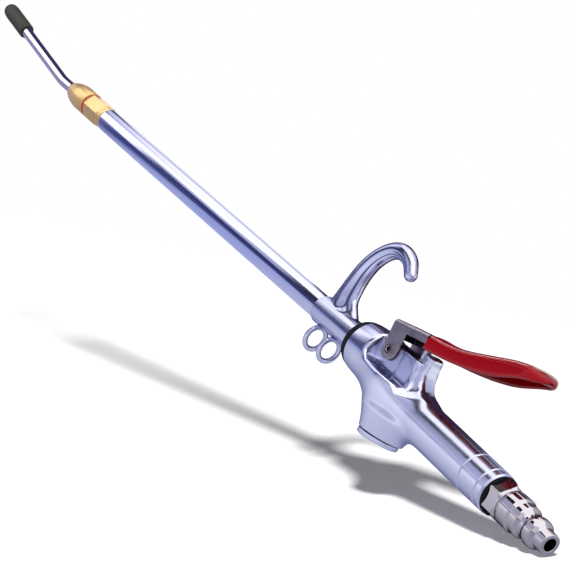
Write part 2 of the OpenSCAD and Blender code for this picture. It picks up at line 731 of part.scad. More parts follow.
slot_w = 1.4;
slot_deep = 0.8;
module valve_cap() {
    color(casting_col) on_valve() difference() {
        turned_up([
            [0, -cap_h - gasket_t], [cap_r - half, -cap_h - gasket_t],
            [cap_r, -cap_h - gasket_t + half], [cap_r, -gasket_t - half * half],
            [cap_r - half * half, -gasket_t], [chamber_r - slit, -gasket_t],
            [chamber_r - slit, cap_plug_top], [0, cap_plug_top]]);
        translate([0, 0, cap_floor]) cylinder(r = coil_r + wire_t, h = cap_plug_top);
        translate([-mouth_x * half, -slot_w * half, -cap_h - gasket_t - over])
            cube([mouth_x, slot_w, slot_deep + over]);
    }
}
module cap_seal() {
    color(rubber_col) on_valve() difference() {
        translate([0, 0, -gasket_t]) cylinder(r = cap_r - half * half, h = gasket_t);
        translate([0, 0, -cap_h]) cylinder(r = chamber_r + slit, h = 2 * cap_h);
    }
}

plug_cham = 0.4;
hex_under = 0.8;
module inlet_plug() {
    color(nickel_col) on_handle() difference() {
        union() {
            turned([
                [0, 0], [0, nose_r - plug_cham], [plug_cham, nose_r], [nose_len, nose_r],
                [5.3, 5], [6, 5.4], [7, rib_r], [8.6, rib_r], [9.5, 5.3],
                [10.3, neck_r], [12, neck_r], [13, 5.7], [13.6, shank_r],
                [16.6, shank_r], [17.4, flare_r], [22.4, flare_r],
                [plug_hex_at - hex_under, flare_r - half],
                [plug_hex_at, flare_r - half], [plug_hex_at, 0]]);
            hex_bar(plug_hex_at, handle_end - washer_t, plug_hex_af,
                    plug_hex_turn, plug_cham * 2, true);
            rod(plug_hex_at, handle_end + plug_thread_len, plug_thread_r - slit);
        }
        rod(-over, handle_end + plug_thread_len + over, plug_bore_r);
    }
}
plug_hex_turn = 10;
module inlet_seal() {
    color(rubber_col) on_handle() difference() {
        rod(handle_end - washer_t, handle_end, washer_r);
        rod(handle_end - 2 * washer_t, handle_end + over, plug_thread_r);
    }
}

hex_from = barrel_front_x + brass_collar_len;
hex_to = hex_from + brass_hex_len;
thread_to = hex_to + brass_thread_len;
fitting_bore_r = 2.6;
module nozzle_fitting() {
    color(brass_col) on_barrel() difference() {
        union() {
            rod(barrel_front_x - spigot_len, barrel_front_x, barrel_bore_r - slit);
            rod(barrel_front_x, hex_from, barrel_r - half * half);
            hex_bar(hex_from, hex_to, brass_hex_af, 0, plug_cham, true);
            rod(hex_to - over, thread_to, brass_thread_r);
        }
        rod(barrel_front_x - 2 * spigot_len, thread_to + over, fitting_bore_r);
    }
}
red_washer_r = 4.85;
module seal_washer() {
    color(red_washer_col) on_barrel() difference() {
        rod(hex_to, hex_to + red_washer_t, red_washer_r);
        rod(hex_to - over, hex_to + 2 * red_washer_t, brass_thread_r + slit);
    }
}
nut_from = hex_to + red_washer_t;
nut_to = nut_from + nut_len;
nut_nose_r = 2.5;
module gland_nut() {
    color(brass_col) on_barrel() difference() {
        turned([
            [nut_from, 0], [nut_from, nut_r], [nut_to - 8, nut_r], [nut_to - 6, 4.8],
            [nut_to - 4.6, 4.45], [nut_to - 3.5, 4.1], [nut_to - 2, 3.6],
            [nut_to - half, 3], [nut_to, nut_nose_r], [nut_to, 0]]);
        rod(nut_from - over, thread_to + ferrule_len, brass_thread_r + slit);
        rod(nut_from, nut_to + over, tube_r + slit);
    }
}
module ferrule() {
    color(rubber_col) on_barrel() difference() {
        rod(thread_to, thread_to + ferrule_len, ferrule_r);
        rod(thread_to - over, thread_to + 2 * ferrule_len, tube_r);
    }
}

// the nozzle tube: straight, bent up, straight again
tube_from = 338.5;
tube_end_x = bend_x + bend_r * sin(bend_angle);
tube_end_z = bend_r * (1 - cos(bend_angle));
module at_bend_end(along) on_barrel() translate([tube_end_x, 0, tube_end_z])
    rotate([0, -bend_angle, 0]) translate([along, 0, 0]) children();
// one ring of the tube: x and z of its centre, then its tilt
function tube_stop(i, more) = i == 0 ? [tube_from - more, 0, 0]
    : i <= tube_steps + 1
    ? let (a = bend_angle * (i - 1) / tube_steps)
      [bend_x + bend_r * sin(a), bend_r * (1 - cos(a)), a]
    : [tube_end_x + (tube_straight + more) * cos(bend_angle),
       tube_end_z + (tube_straight + more) * sin(bend_angle), bend_angle];
function tube_ring(q, r) = [for (j = [0:tube_sides - 1])
    let (t = -full_turn * j / tube_sides, u = r * cos(t), w = r * sin(t))
    [q[0] - u * sin(q[2]), w, q[1] + u * cos(q[2])]];
module tube_solid(r, more) on_barrel() ring_mesh([for (i = [0:tube_steps + 2])
    tube_ring(tube_stop(i, more), r)]);
module nozzle_tube() {
    color(nickel_col) difference() {
        tube_solid(tube_r - slit, 0);
        tube_solid(tube_bore_r, over);
    }
}
tip_from = tube_straight - tip_grip;
tip_end = tip_from + tip_len;
module rubber_tip() {
    color(tip_col) at_bend_end(0) difference() {
        turned([
            [tip_from, 0], [tip_from, tip_r - plug_cham], [tip_from + plug_cham, tip_r],
            [tip_end - tip_dome, tip_r], [tip_end - tip_dome * 0.6, tip_r * 0.96],
            [tip_end - tip_dome * 0.3, tip_r * 0.87], [tip_end - tip_dome * 0.1, tip_r * 0.77],
            [tip_end, tip_r * 0.64], [tip_end, 0]]);
        rod(tip_from - over, tube_straight, tube_r);
        rod(tip_from, tip_end + over, tip_hole_r);
    }
}

gun_body();
hook_collar();
barrel_tube();
front_seal();
lever();
lever_grip();
lever_pin();
valve_stem();
stem_bush();
stem_oring();
valve_poppet();
poppet_seal();
valve_spring();
valve_cap();
cap_seal();
inlet_plug();
inlet_seal();
nozzle_fitting();
seal_washer();
gland_nut();
ferrule();
nozzle_tube();
rubber_tip();
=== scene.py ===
# %% [markdown]
# Air duster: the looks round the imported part
#
# The real tool is an air blow gun: a cast valve body with a turned handle, a
# long barrel with a bent nozzle tube and a soft tip, a sheet-metal lever with
# a dipped red grip, and a hook to hang it by. The CAD part already holds every
# piece in its place. This script gives each visible piece its real finish,
# and builds finer surfaces where the CAD model is plain. All lengths below are
# millimetres in the barrel's frame: x from the inlet plug's nose toward the
# tip, y to the left, z up from the barrel's axis.

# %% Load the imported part
import math

import bmesh
import bpy
import numpy as np
from mathutils import Matrix, Vector


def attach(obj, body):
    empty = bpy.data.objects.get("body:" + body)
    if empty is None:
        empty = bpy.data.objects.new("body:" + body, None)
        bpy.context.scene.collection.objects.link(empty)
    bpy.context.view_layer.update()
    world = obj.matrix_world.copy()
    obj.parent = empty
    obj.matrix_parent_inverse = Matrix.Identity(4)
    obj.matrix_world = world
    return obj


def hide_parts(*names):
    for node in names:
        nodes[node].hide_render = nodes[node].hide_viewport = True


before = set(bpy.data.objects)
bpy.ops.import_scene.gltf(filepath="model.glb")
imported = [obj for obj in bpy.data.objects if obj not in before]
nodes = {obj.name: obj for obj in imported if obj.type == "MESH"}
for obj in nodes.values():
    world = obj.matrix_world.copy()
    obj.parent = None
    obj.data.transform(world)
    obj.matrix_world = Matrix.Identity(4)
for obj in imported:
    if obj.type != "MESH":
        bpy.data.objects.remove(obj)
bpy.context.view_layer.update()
MM = 0.001
BARREL_RISE = 8.9
print("CAD nodes:", len(nodes), "and the barrel's axis is", BARREL_RISE, "mm up")

# %% [markdown]
# Surfaces from grids
#
# Nearly every piece here is turned, swept or cast, so its skin can be written
# as a function of two parameters: how far along the piece, and how far round
# it. One helper turns such a grid of points into a closed mesh with a cap at
# each end. That is quicker and cleaner than modelling by hand, and the same
# helper serves for all pieces.

# %% A closed mesh from a grid of rings
SHARP_DEG = 32


def closed_mesh(name, rings, caps=True, sharp=SHARP_DEG):
    """A mesh from an array of rings x points x 3. Each quad joins two
    neighbouring points of one ring with the same two of the next ring; the
    first and last rings are filled, or joined to each other without caps.
    Heights count from the barrel's axis, which is raised to its place here."""
    count, around = rings.shape[:2]
    last = count - 1 if caps else count
    i = np.arange(last)[:, None] * around
    k = (np.arange(1, last + 1) % count)[:, None] * around
    j = np.arange(around)[None, :]
    n = (j + 1) % around
    quads = np.stack([i + j, i + n, k + n, k + j], -1).reshape(-1, 4)
    points = rings.reshape(-1, 3) * MM + np.array([0, 0, BARREL_RISE * MM])
    faces = quads.tolist()
    if caps:
        faces += [list(range(around)), list(range((count - 1) * around, count * around))]
    mesh = bpy.data.meshes.new(name)
    mesh.from_pydata(points.tolist(), [], faces)
    b = bmesh.new()
    b.from_mesh(mesh)
    bmesh.ops.remove_doubles(b, verts=b.verts, dist=1e-7)
    bmesh.ops.recalc_face_normals(b, faces=b.faces)
    b.to_mesh(mesh)
    b.free()
    mesh.shade_smooth()
    mesh.set_sharp_from_angle(angle=math.radians(sharp))
    piece = bpy.data.objects.new(name, mesh)
    bpy.context.scene.collection.objects.link(piece)
    return piece


print("edges are sharp from", SHARP_DEG, "degrees on")

# %% Stations, angles, smooth steps and rounded corners
ROUND_STEPS = 5


def stops(start, *spans):
    """Stations along a piece, from the start on: each span is (to, how many
    steps)."""
    parts = []
    for end, steps in spans:
        parts.append(np.linspace(start, end, steps, endpoint=False))
        start = end
    return np.concatenate(parts + [[start]])


def full_turn(count):
    """Angles of evenly spaced points round a full turn."""
    return np.linspace(0, 2 * np.pi, count, endpoint=False)


def smooth_step(t):
    """0 below 0, 1 above 1, and 3 t squared minus 2 t cubed between."""
    t = np.clip(t, 0, 1)
    return t * t * (3 - 2 * t)


def rounded_profile(corners):
    """A turned piece's outline with rounded corners. Each corner is (along,
    radius, rounding); a rounded corner becomes a short curve that starts and
    ends the rounding's length away on its two sides, blended by the rule
    (1-t)(1-t) a + 2 t (1-t) corner + t t b."""
    out = []
    t = np.linspace(0, 1, ROUND_STEPS + 1)[:, None]
    for n, (s, r, fillet) in enumerate(corners):
        here = np.array([s, r])
        if fillet == 0 or n == 0 or n == len(corners) - 1:
            out.append(here[None])
            continue
        ends = []
        for m in (n - 1, n + 1):
            side = np.array(corners[m][:2]) - here
            ends.append(here + side * min(0.5, fillet / np.hypot(*side)))
        out.append((1 - t) ** 2 * ends[0] + 2 * t * (1 - t) * here + t ** 2 * ends[1])
    return np.concatenate(out)


rod = rounded_profile([(0, 0, 0), (0, 1, 0.1), (2, 1, 0.1), (2, 0, 0)])
print("a rod with rounded rims has", len(rod), "points in its outline")

# %% Frames of the tool's own axes
def along_barrel(s, y, z):
    """The barrel's own frame: nothing changes."""
    return s, y, z


HANDLE_TILT = math.radians(1.5)


def along_handle(s, y, z):
    """The handle's axis starts at the plug's nose, below the barrel's axis,
    and rises by its tilt toward the valve."""
    c, w = math.cos(HANDLE_TILT), math.sin(HANDLE_TILT)
    return s * c - z * w, y, s * w + z * c - BARREL_RISE


VALVE_X, VALVE_DROP, VALVE_LEAN = 92.6, 20.1, math.radians(3.2)


def along_valve(s, y, z):
    """The valve's axis stands on the body's bottom face and leans forward."""
    c, w = math.cos(VALVE_LEAN), math.sin(VALVE_LEAN)
    return VALVE_X + s * w - z * c, y, s * c + z * w - VALVE_DROP


BEND_X, BEND_R, BEND = 357.0, 30.0, math.radians(7.7)


def along_tube(s, y, z):
    """The straight end of the nozzle tube, past its bend."""
    c, w = math.cos(BEND), math.sin(BEND)
    x0, z0 = BEND_X + BEND_R * w, BEND_R * (1 - c)
    return x0 + s * c - z * w, y, z0 + s * w + z * c


print("the handle rises", round(math.degrees(HANDLE_TILT), 2), "degrees to the barrel, and",
      "the tube's bend ends at", [round(v, 2) for v in along_tube(0, 0, 0)])

# %% Turned pieces
def turned(name, corners, place=along_barrel, around=96):
    """A turned piece: the outline is carried round its axis, so a point is at
    (along, radius cos a, radius sin a)."""
    p = rounded_profile(corners)
    a = full_turn(around)
    s = np.repeat(p[:, :1], around, 1)
    rings = np.stack(place(s, p[:, 1:] * np.cos(a), p[:, 1:] * np.sin(a)), -1)
    return closed_mesh(name, rings)


print("ready to turn pieces")

# %% [markdown]
# Shared surface effects
#
# Cast, plated and rubbed metal is never even: the gloss wanders, and fine
# grain breaks up a reflection. One node group gives a wandering roughness and
# a fine grain height on Object coordinates, and each finish uses it with its
# own values. The shader itself stays in each material.

# %% Small steps between shader nodes
def map_range(n, link, value, low, high, kind="SMOOTHSTEP", to=(0.0, 1.0)):
    """The first of to where the value is low, the second where it is high,
    and smooth or straight between."""
    r = n.new("ShaderNodeMapRange")
    r.interpolation_type = kind
    for label, number in (("From Min", low), ("From Max", high),
                          ("To Min", to[0]), ("To Max", to[1])):
        r.inputs[label].default_value = number
    link(value, r.inputs["Value"])
    return r.outputs["Result"]


def mix_colour(n, link, factor, a, b):
    """A mix of two colours, or of sockets that hold them."""
    m = n.new("ShaderNodeMix")
    m.data_type = "RGBA"
    link(factor, m.inputs["Factor"])
    for label, value in (("A", a), ("B", b)):
        if isinstance(value, tuple):
            m.inputs[label].default_value = (*value, 1)
        else:
            link(value, m.inputs[label])
    return m.outputs["Result"]


print("ready to join shader nodes")

# %% Node group for uneven gloss and grain
def uneven_group():
    """Roughness = low + (high - low) x slow noise; Height = fine noise."""
    g = bpy.data.node_groups.new("uneven_gloss", "ShaderNodeTree")
    face = g.interface
    for label, value in (("Patch Scale", 60.0), ("Grain Scale", 2500.0),
                         ("Low", 0.2), ("High", 0.3)):
        s = face.new_socket(label, in_out="INPUT", socket_type="NodeSocketFloat")
        s.default_value = value
    for label in ("Roughness", "Height", "Mask"):
        face.new_socket(label, in_out="OUTPUT", socket_type="NodeSocketFloat")
    n, link = g.nodes, g.links.new
    inside, outside = n.new("NodeGroupInput"), n.new("NodeGroupOutput")
    where = n.new("ShaderNodeTexCoord")
    patch, grain = n.new("ShaderNodeTexNoise"), n.new("ShaderNodeTexNoise")
    spread = n.new("ShaderNodeMapRange")
    patch.inputs["Detail"].default_value = 3.0
    grain.inputs["Detail"].default_value = 2.0
    link(where.outputs["Object"], patch.inputs["Vector"])
    link(where.outputs["Object"], grain.inputs["Vector"])
    link(inside.outputs["Patch Scale"], patch.inputs["Scale"])
    link(inside.outputs["Grain Scale"], grain.inputs["Scale"])
    link(patch.outputs["Fac"], spread.inputs["Value"])
    spread.inputs["From Min"].default_value = 0.3
    spread.inputs["From Max"].default_value = 0.7
    link(inside.outputs["Low"], spread.inputs["To Min"])
    link(inside.outputs["High"], spread.inputs["To Max"])
    link(spread.outputs["Result"], outside.inputs["Roughness"])
    link(grain.outputs["Fac"], outside.inputs["Height"])
    link(patch.outputs["Fac"], outside.inputs["Mask"])
    return g


UNEVEN = uneven_group()
print("node group:", UNEVEN.name)

# %% A finish from its values
BUMP_STRENGTH = 0.6


def finish(name, colour, metallic, gloss, grain, patch=60.0, fine=2500.0, tint=None):
    """A finish: colour, metal or not, lowest and highest roughness, and how
    deep the grain is, in millimetres. tint is a second colour that the slow
    noise mixes in."""
    m = bpy.data.materials.new(name)
    m.use_nodes = True
    n, link = m.node_tree.nodes, m.node_tree.links.new
    shader = n["Principled BSDF"]
    shader.inputs["Metallic"].default_value = metallic
    shader.inputs["Base Color"].default_value = (*colour, 1)
    group = n.new("ShaderNodeGroup")
    group.node_tree = UNEVEN
    group.inputs["Patch Scale"].default_value = patch
    group.inputs["Grain Scale"].default_value = fine
    group.inputs["Low"].default_value = gloss[0]
    group.inputs["High"].default_value = gloss[1]
    link(group.outputs["Roughness"], shader.inputs["Roughness"])
    bump = n.new("ShaderNodeBump")
    bump.inputs["Strength"].default_value = BUMP_STRENGTH
    bump.inputs["Distance"].default_value = grain * MM
    link(group.outputs["Height"], bump.inputs["Height"])
    link(bump.outputs["Normal"], shader.inputs["Normal"])
    if tint:
        link(mix_colour(n, link, group.outputs["Mask"], colour, tint),
             shader.inputs["Base Color"])
    return m, shader


print("grain bumps at", BUMP_STRENGTH, "of their full strength")

# %% Gloss that changes toward the edge
def fade_gloss(material, shader, level, start=0.8, end=0.95):
    """Lets the gloss of a soft surface fade where it is seen edge on: from
    level at the facing share start to none at end."""
    n, link = material.node_tree.nodes, material.node_tree.links.new
    edge = n.new("ShaderNodeLayerWeight")
    fade = map_range(n, link, edge.outputs["Facing"], start, end, "LINEAR", (level, 0.0))
    link(fade, shader.inputs["Specular IOR Level"])


def painted_rim_reflection(shader, colour):
    """The colour that a polished metal mirrors where it is seen edge on. The colours given to
    it here are dark, so the rims darken: a painted dark reflection at the edges, the same all
    over."""
    shader.inputs["Specular Tint"].default_value = (*colour, 1)


print("ready to tune a finish at its edge")

# %% [markdown]
# The finishes of this tool
#
# Casting, hook and barrel look plated and polished, the plug like bright
# nickel, the lever like dull nickel worn in patches, and fitting and nut like
# turned brass. Grip, seals and tip are soft and not metal. A picture of each
# could be wrapped round its piece, but colour, roughness and noise are enough
# here, need no unwrapping and stay sharp from near by.

# %% Finishes
satin_casting, satin = finish("satin_casting", (0.58, 0.59, 0.76), 1.0, (0.19, 0.26), 0.003)
hook_casting, cast_hook = finish("hook_casting", (0.50, 0.51, 0.70), 1.0, (0.17, 0.24), 0.002)
bright_barrel, _ = finish("bright_barrel", (0.56, 0.57, 0.76), 1.0, (0.10, 0.15), 0.002)
bright_nickel, _ = finish("bright_nickel", (0.66, 0.62, 0.67), 1.0, (0.03, 0.07), 0.0005)
plug_nickel, plug_shader = finish("plug_nickel", (0.52, 0.48, 0.52), 1.0, (0.05, 0.09), 0.0005)
dark_nickel, _ = finish("dark_nickel", (0.24, 0.20, 0.22), 1.0, (0.26, 0.38), 0.010,
                        tint=(0.46, 0.39, 0.43), patch=300.0, fine=1800.0)
turned_brass, _ = finish("turned_brass", (0.80, 0.55, 0.25), 0.55, (0.20, 0.26), 0.001,
                         tint=(0.66, 0.41, 0.16), patch=120.0)
black_rubber, black = finish("black_rubber", (0.006, 0.006, 0.008), 0.0, (0.5, 0.65), 0.01)
tip_rubber, tip = finish("tip_rubber", (0.040, 0.040, 0.034), 0.0, (0.5, 0.65), 0.02)
red_washer, _ = finish("red_brown_washer", (0.32, 0.05, 0.015), 0.0, (0.4, 0.5), 0.01)
red_vinyl, vinyl = finish("red_vinyl", (0.23, 0.0, 0.003), 0.0, (0.12, 0.18), 0.003,
                          patch=40.0, fine=900.0)
# The dark edge tints below paint a dark reflection along the rims of casting, hook and plug.
painted_rim_reflection(satin, (0.30, 0.31, 0.46))
painted_rim_reflection(cast_hook, (0.02, 0.02, 0.10))
painted_rim_reflection(plug_shader, (0.06, 0.05, 0.06))
fade_gloss(black_rubber, black, 0.06, 0.5, 0.8)
fade_gloss(tip_rubber, tip, 0.2)
fade_gloss(red_vinyl, vinyl, 0.3)
vinyl.inputs["Subsurface Weight"].default_value = 0.1
vinyl.inputs["Subsurface Radius"].default_value = (1.0, 0.1, 0.1)
vinyl.inputs["Subsurface Scale"].default_value = MM
print("finishes that use the group:", UNEVEN.users)

# %% [markdown]
# Dressing the pieces
#
# The CAD pieces keep their meshes and only get a finish. Where a finer piece
# is built below, it says which CAD piece it stands for and which body it
# rides on, so that it moves with the lever or the nozzle at every pose.

# %% Every CAD node gets its finish
NODE_FINISH = {
    "gun_body": satin_casting, "hook_collar": satin_casting, "barrel_tube": bright_barrel,
    "front_seal": black_rubber, "lever": dark_nickel, "lever_grip": red_vinyl,
    "lever_pin": dark_nickel, "valve_stem": bright_nickel, "stem_bush": turned_brass,
    "stem_oring": black_rubber, "valve_poppet": turned_brass, "poppet_seal": black_rubber,
    "valve_spring": bright_nickel, "valve_cap": satin_casting, "cap_seal": black_rubber,
    "inlet_plug": plug_nickel, "inlet_seal": black_rubber,
    "nozzle_fitting": turned_brass, "seal_washer": red_washer, "gland_nut": turned_brass,
    "ferrule": black_rubber, "nozzle_tube": bright_nickel, "rubber_tip": tip_rubber}
for node_name, material in NODE_FINISH.items():
    nodes[node_name].data.materials.clear()
    nodes[node_name].data.materials.append(material)
print("dressed CAD nodes:", len(NODE_FINISH))

# %% A new piece gets its finish, its body and its CAD nodes
def dress(piece, material, body, *stands_for, slot=None):
    """Gives a new piece its finish, the CAD body it rides on and the CAD
    nodes that it stands for."""
    piece.data.materials.append(material)
    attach(piece, body)
    if stands_for:
        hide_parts(*stands_for)
    print(piece.name, len(piece.data.polygons), "faces")


print("ready to dress new pieces")

# %% [markdown]
# The casting: one surface from blended distances
#
# A cast body has no hard joints: the round hub in front, the boss below it and
# the handle run into each other with wide fillets. Each form is written as a
# distance: how far a point is outside it. A soft minimum of the distances is a
# blend, and a soft maximum cuts with a rounded rim. The surface is a function
# of two parameters, the station along the body and the angle round it: from a
# middle line each point walks outward by its distance until that is zero.

# %% Distances to the casting's forms
def soft_min(a, b, k):
    """The smaller value, lowered where the two are within k of each other by
    the square of what is left, over 4 k."""
    h = np.maximum(k - np.abs(a - b), 0)
    return np.minimum(a, b) - h * h / (4 * k)


def soft_max(a, b, k):
    """The larger value, rounded in the same way."""
    return -soft_min(-a, -b, k)


HANDLE_R, HANDLE_END, HANDLE_TO, HANDLE_CHAMFER = 7.72, 30.9, 90.0, 0.75
GROOVES, GROOVE_W, GROOVE_DEEP, GROOVE_SPAN = (34.75, 44.25), 0.42, 0.4, 0.85
MOUTH_X, MOUTH_R, HUB_R, HUB_TAPER, HUB_REAR = 121.5, 9.4, 10.5, 105.0, 98.5
BOSS_R, BOSS_TOP = 7.75, 13.0


def handle_axes(x, z):
    """How far a point is along the handle's axis, and how far above it."""
    c, w = math.cos(HANDLE_TILT), math.sin(HANDLE_TILT)
    return x * c + (z + BARREL_RISE) * w, (z + BARREL_RISE) * c - x * w


def valve_axes(x, z):
    """How far a point is up the valve's axis, and how far in front of it."""
    c, w = math.cos(VALVE_LEAN), math.sin(VALVE_LEAN)
    return (x - VALVE_X) * w + (z + VALVE_DROP) * c, (x - VALVE_X) * c - (z + VALVE_DROP) * w


def hub_distance(x, y, z):
    """A rod along x with a rounded rear end; its radius falls with the square
    of the way to the front face."""
    t = np.maximum(x - HUB_TAPER, 0) / (MOUTH_X - HUB_TAPER)
    s = np.maximum(x, HUB_REAR)
    return np.sqrt((x - s) ** 2 + y * y + z * z) - HUB_R + (HUB_R - MOUTH_R) * t * t


def handle_distance(x, y, z):
    """A rod along the handle's tilted axis. Its radius falls in a chamfer at
    the end and in a vee at each groove."""
    a, b = handle_axes(x, z)
    left = (HANDLE_END + HANDLE_CHAMFER - a) / HANDLE_CHAMFER
    radius = HANDLE_R - HANDLE_CHAMFER * np.clip(left, 0, 1)
    for g in GROOVES:
        radius = radius - GROOVE_DEEP * np.clip(1 - np.abs(a - g) / GROOVE_W, 0, 1)
    return np.sqrt(np.maximum(a - HANDLE_TO, 0) ** 2 + y * y + b * b) - radius


def boss_distance(x, y, z):
    """A rod along the valve's axis with a rounded top."""
    v, u = valve_axes(x, z)
    return np.sqrt(np.maximum(v - BOSS_TOP, 0) ** 2 + u * u + y * y) - BOSS_R


print("distance in the hub's middle:", round(float(hub_distance(110.0, 0.0, 0.0)), 2), "mm")

# %% Distances to the cuts and the guard
def cove(u, v, r):
    """Distance to the region where u and v are both below zero, with a corner
    of radius r."""
    a, b = u + r, v + r
    return np.hypot(np.maximum(a, 0), np.maximum(b, 0)) + np.minimum(np.maximum(a, b), 0) - r


GUARD_FRONT, GUARD_HALF, GUARD_TOP, GUARD_LOW = 91.4, 3.5, 13.4, -8.0
GUARD_SIDE_ROUND, GUARD_FRONT_ROUND, GUARD_TOP_ROUND = 2.4, 0.4, 1.2
GUARD_Z = np.array([-4, 0.4, 1.0, 2.2, 4.2, 7.0, 10.5, 14.0])
GUARD_REAR = np.array([81.0, 81.3, 82.3, 83.8, 85.4, 86.7, 87.0, 87.1])


def guard_distance(x, y, z):
    """The guard fin: its rear face is a line through listed points, x for each height, and its
    distance is divided by the slope's length."""
    slope = np.interp(z, GUARD_Z, np.gradient(GUARD_REAR, GUARD_Z))
    rear = (np.interp(z, GUARD_Z, GUARD_REAR) - x) / np.sqrt(1 + slope ** 2)
    d = soft_max(rear, np.abs(y) - GUARD_HALF, GUARD_SIDE_ROUND)
    d = soft_max(d, x - GUARD_FRONT, GUARD_FRONT_ROUND)
    return np.maximum(soft_max(d, z - GUARD_TOP, GUARD_TOP_ROUND), GUARD_LOW - z)


print("guard:", GUARD_TOP, "mm above the barrel's axis")

# %% Distance to the whole casting
BLEND_BIG, BLEND_SMALL, BLEND_UNDER, UNDER_SPAN = 16.0, 6.0, 5.0, 4.0
REAR_CUT_X, REAR_CUT_DEEP, REAR_CUT_R, REAR_CUT_ROUND = 89.5, 5.0, 3.2, 1.0
POCKET_X, POCKET_REAR, POCKET_FLOOR, POCKET_SLOPE, POCKET_R = 111.2, 88.0, -0.3, 0.034, 3.4
POCKET_REAR_ROUND, TONGUE_HALF, RIM, TOP_CUT_TO = 3.0, 5.2, 1.5, 110.0
TOWER_R, TOWER_HALF, TOWER_TOP, TOWER_SIDE_ROUND, TOWER_TOP_ROUND = 6.4, 5.45, 9.6, 0.3, 0.4
STAND_BLEND, FOOT_BLEND, BLEND_GUARD, GUARD_FOOT_X, GUARD_FOOT_SPAN = 0.8, 0.5, 4.0, 91, 4


def casting_distance(x, y, z):
    """The blend of hub, boss and handle, cut by the two ear pockets, the flat
    over the tongue and the room behind the tower, joined with the tower round
    the stem and the guard behind it, and cut flat below."""
    v, u = valve_axes(x, z)
    side = np.abs(y)
    over = handle_axes(x, z)[1] - HANDLE_R
    under = smooth_step((-BARREL_RISE - z) / UNDER_SPAN)
    d = soft_min(hub_distance(x, y, z), boss_distance(x, y, z), BLEND_BIG)
    room = cove(x - REAR_CUT_X, -REAR_CUT_DEEP - over, REAR_CUT_R)
    d = soft_max(d, -room, REAR_CUT_ROUND)
    d = soft_min(d, handle_distance(x, y, z), BLEND_SMALL + BLEND_UNDER * under)
    floor = POCKET_FLOOR - POCKET_SLOPE * (POCKET_X - x)
    pocket = np.maximum(cove(x - POCKET_X, floor - z, POCKET_R), TONGUE_HALF - side)
    pocket = soft_max(pocket, POCKET_REAR - x, POCKET_REAR_ROUND)
    d = soft_max(d, -pocket, RIM)
    d = soft_max(d, -np.maximum(TOWER_TOP - z, x - TOP_CUT_TO), RIM)
    tower = soft_max(np.hypot(u, y) - TOWER_R, side - TOWER_HALF, TOWER_SIDE_ROUND)
    tower = soft_max(tower, z - TOWER_TOP, TOWER_TOP_ROUND)
    stand = soft_min(tower, guard_distance(x, y, z), STAND_BLEND)
    wide = BLEND_GUARD * smooth_step((GUARD_FOOT_X - x) / GUARD_FOOT_SPAN)
    d = soft_min(d, stand, FOOT_BLEND + wide)
    return np.maximum(d, -v)


on_side = casting_distance(60.0, HANDLE_R, 60.0 * math.tan(HANDLE_TILT) - BARREL_RISE)
print("distance on the handle's side:", round(float(on_side), 2), "mm")

# %% [markdown]
# The casting: its skin
#
# The distance says where the surface is; now points have to be put on it.
# They start near a middle line inside the body and walk outward, which keeps
# them in rings. The rings stand closer where the form changes quickly.

# %% The casting's surface
WALKS, SHARE, START_R, MIDDLE_Z = 120, 0.8, 2.0, -4.0


def casting_rings(around=400):
    """Rings along a middle line. A ring's plane stands across the handle's
    axis at the rear and across the barrel's axis in front. Each point walks
    out along its ray by a share of its distance, many times."""
    (g0, g1), (g2, g3) = [(g - GROOVE_SPAN, g + GROOVE_SPAN) for g in GROOVES]
    x = stops(HANDLE_END, (HANDLE_END + HANDLE_CHAMFER, 4), (g0, 2), (g1, 16), (g2, 4),
              (g3, 16), (76, 16), (86.6, 34), (88.2, 22), (90.8, 12), (92.2, 14),
              (107.6, 50), (111.8, 36), (MOUTH_X, 24))
    tilt = HANDLE_TILT * (1 - smooth_step((x - 66) / 10))
    on_axis = x * math.tan(HANDLE_TILT) - BARREL_RISE
    mid = on_axis + (MIDDLE_Z - on_axis) * smooth_step((x - 76) / 14)
    mid = np.where(x > 108, MIDDLE_Z * (1 - smooth_step((x - 108) / 12)), mid)
    a = full_turn(around)[None]
    dx, dz = -np.sin(tilt)[:, None] * np.sin(a), np.cos(tilt)[:, None] * np.sin(a)
    dy = np.repeat(np.cos(a), len(x), 0)
    x, mid = x[:, None], mid[:, None]
    r = np.full(dy.shape, START_R)
    for _ in range(WALKS):
        r = r - SHARE * casting_distance(x + r * dx, r * dy, mid + r * dz)
    return np.stack([x + r * dx, r * dy, mid + r * dz], -1)


dress(closed_mesh("casting", casting_rings(), sharp=40), satin_casting, "gun", "gun_body",
      slot="casting")

# %% [markdown]
# The barrel, its collar and the black ring
#
# These are turned tubes. Each outline lists the corners of the real piece
# with the small radius that a lathe or a polish leaves, because that radius
# is what catches the light as a thin bright line.

# %% Barrel, collar and joint ring
BARREL_R, BARREL_BORE, BARREL_END = 4.75, 3.73, 318.6
SLEEVE_R, SLEEVE_REAR = 4.18, 141.0
COLLAR_R, COLLAR_REAR, COLLAR_FRONT, COLLAR_MOUTH_R = 5.4, 113.0, 151.2, 4.3
RING_R, RING_FRONT, RING_FRONT_R = 9.2, 125.4, 8.2
BARREL_LINE = [
    (SLEEVE_REAR, 0, 0), (SLEEVE_REAR, SLEEVE_R, 0), (COLLAR_FRONT, SLEEVE_R, 0),
    (COLLAR_FRONT, BARREL_R, 0.2), (BARREL_END, BARREL_R, 0.5), (BARREL_END, BARREL_BORE, 0),
    (BARREL_END - 0.6, 0, 0)]
COLLAR_LINE = [
    (COLLAR_REAR, 0, 0), (COLLAR_REAR, COLLAR_R - 0.02, 0), (COLLAR_FRONT, COLLAR_R, 0.45),
    (COLLAR_FRONT, COLLAR_MOUTH_R, 0), (COLLAR_FRONT - 0.4, 0, 0)]
RING_LINE = [
    (MOUTH_X, COLLAR_R, 0), (MOUTH_X, RING_R, 0.3), (123.6, 9.0, 0.5),
    (RING_FRONT, RING_FRONT_R, 0.6), (RING_FRONT, COLLAR_R, 0)]
dress(turned("barrel", BARREL_LINE), bright_barrel, "gun", "barrel_tube", slot="casting")
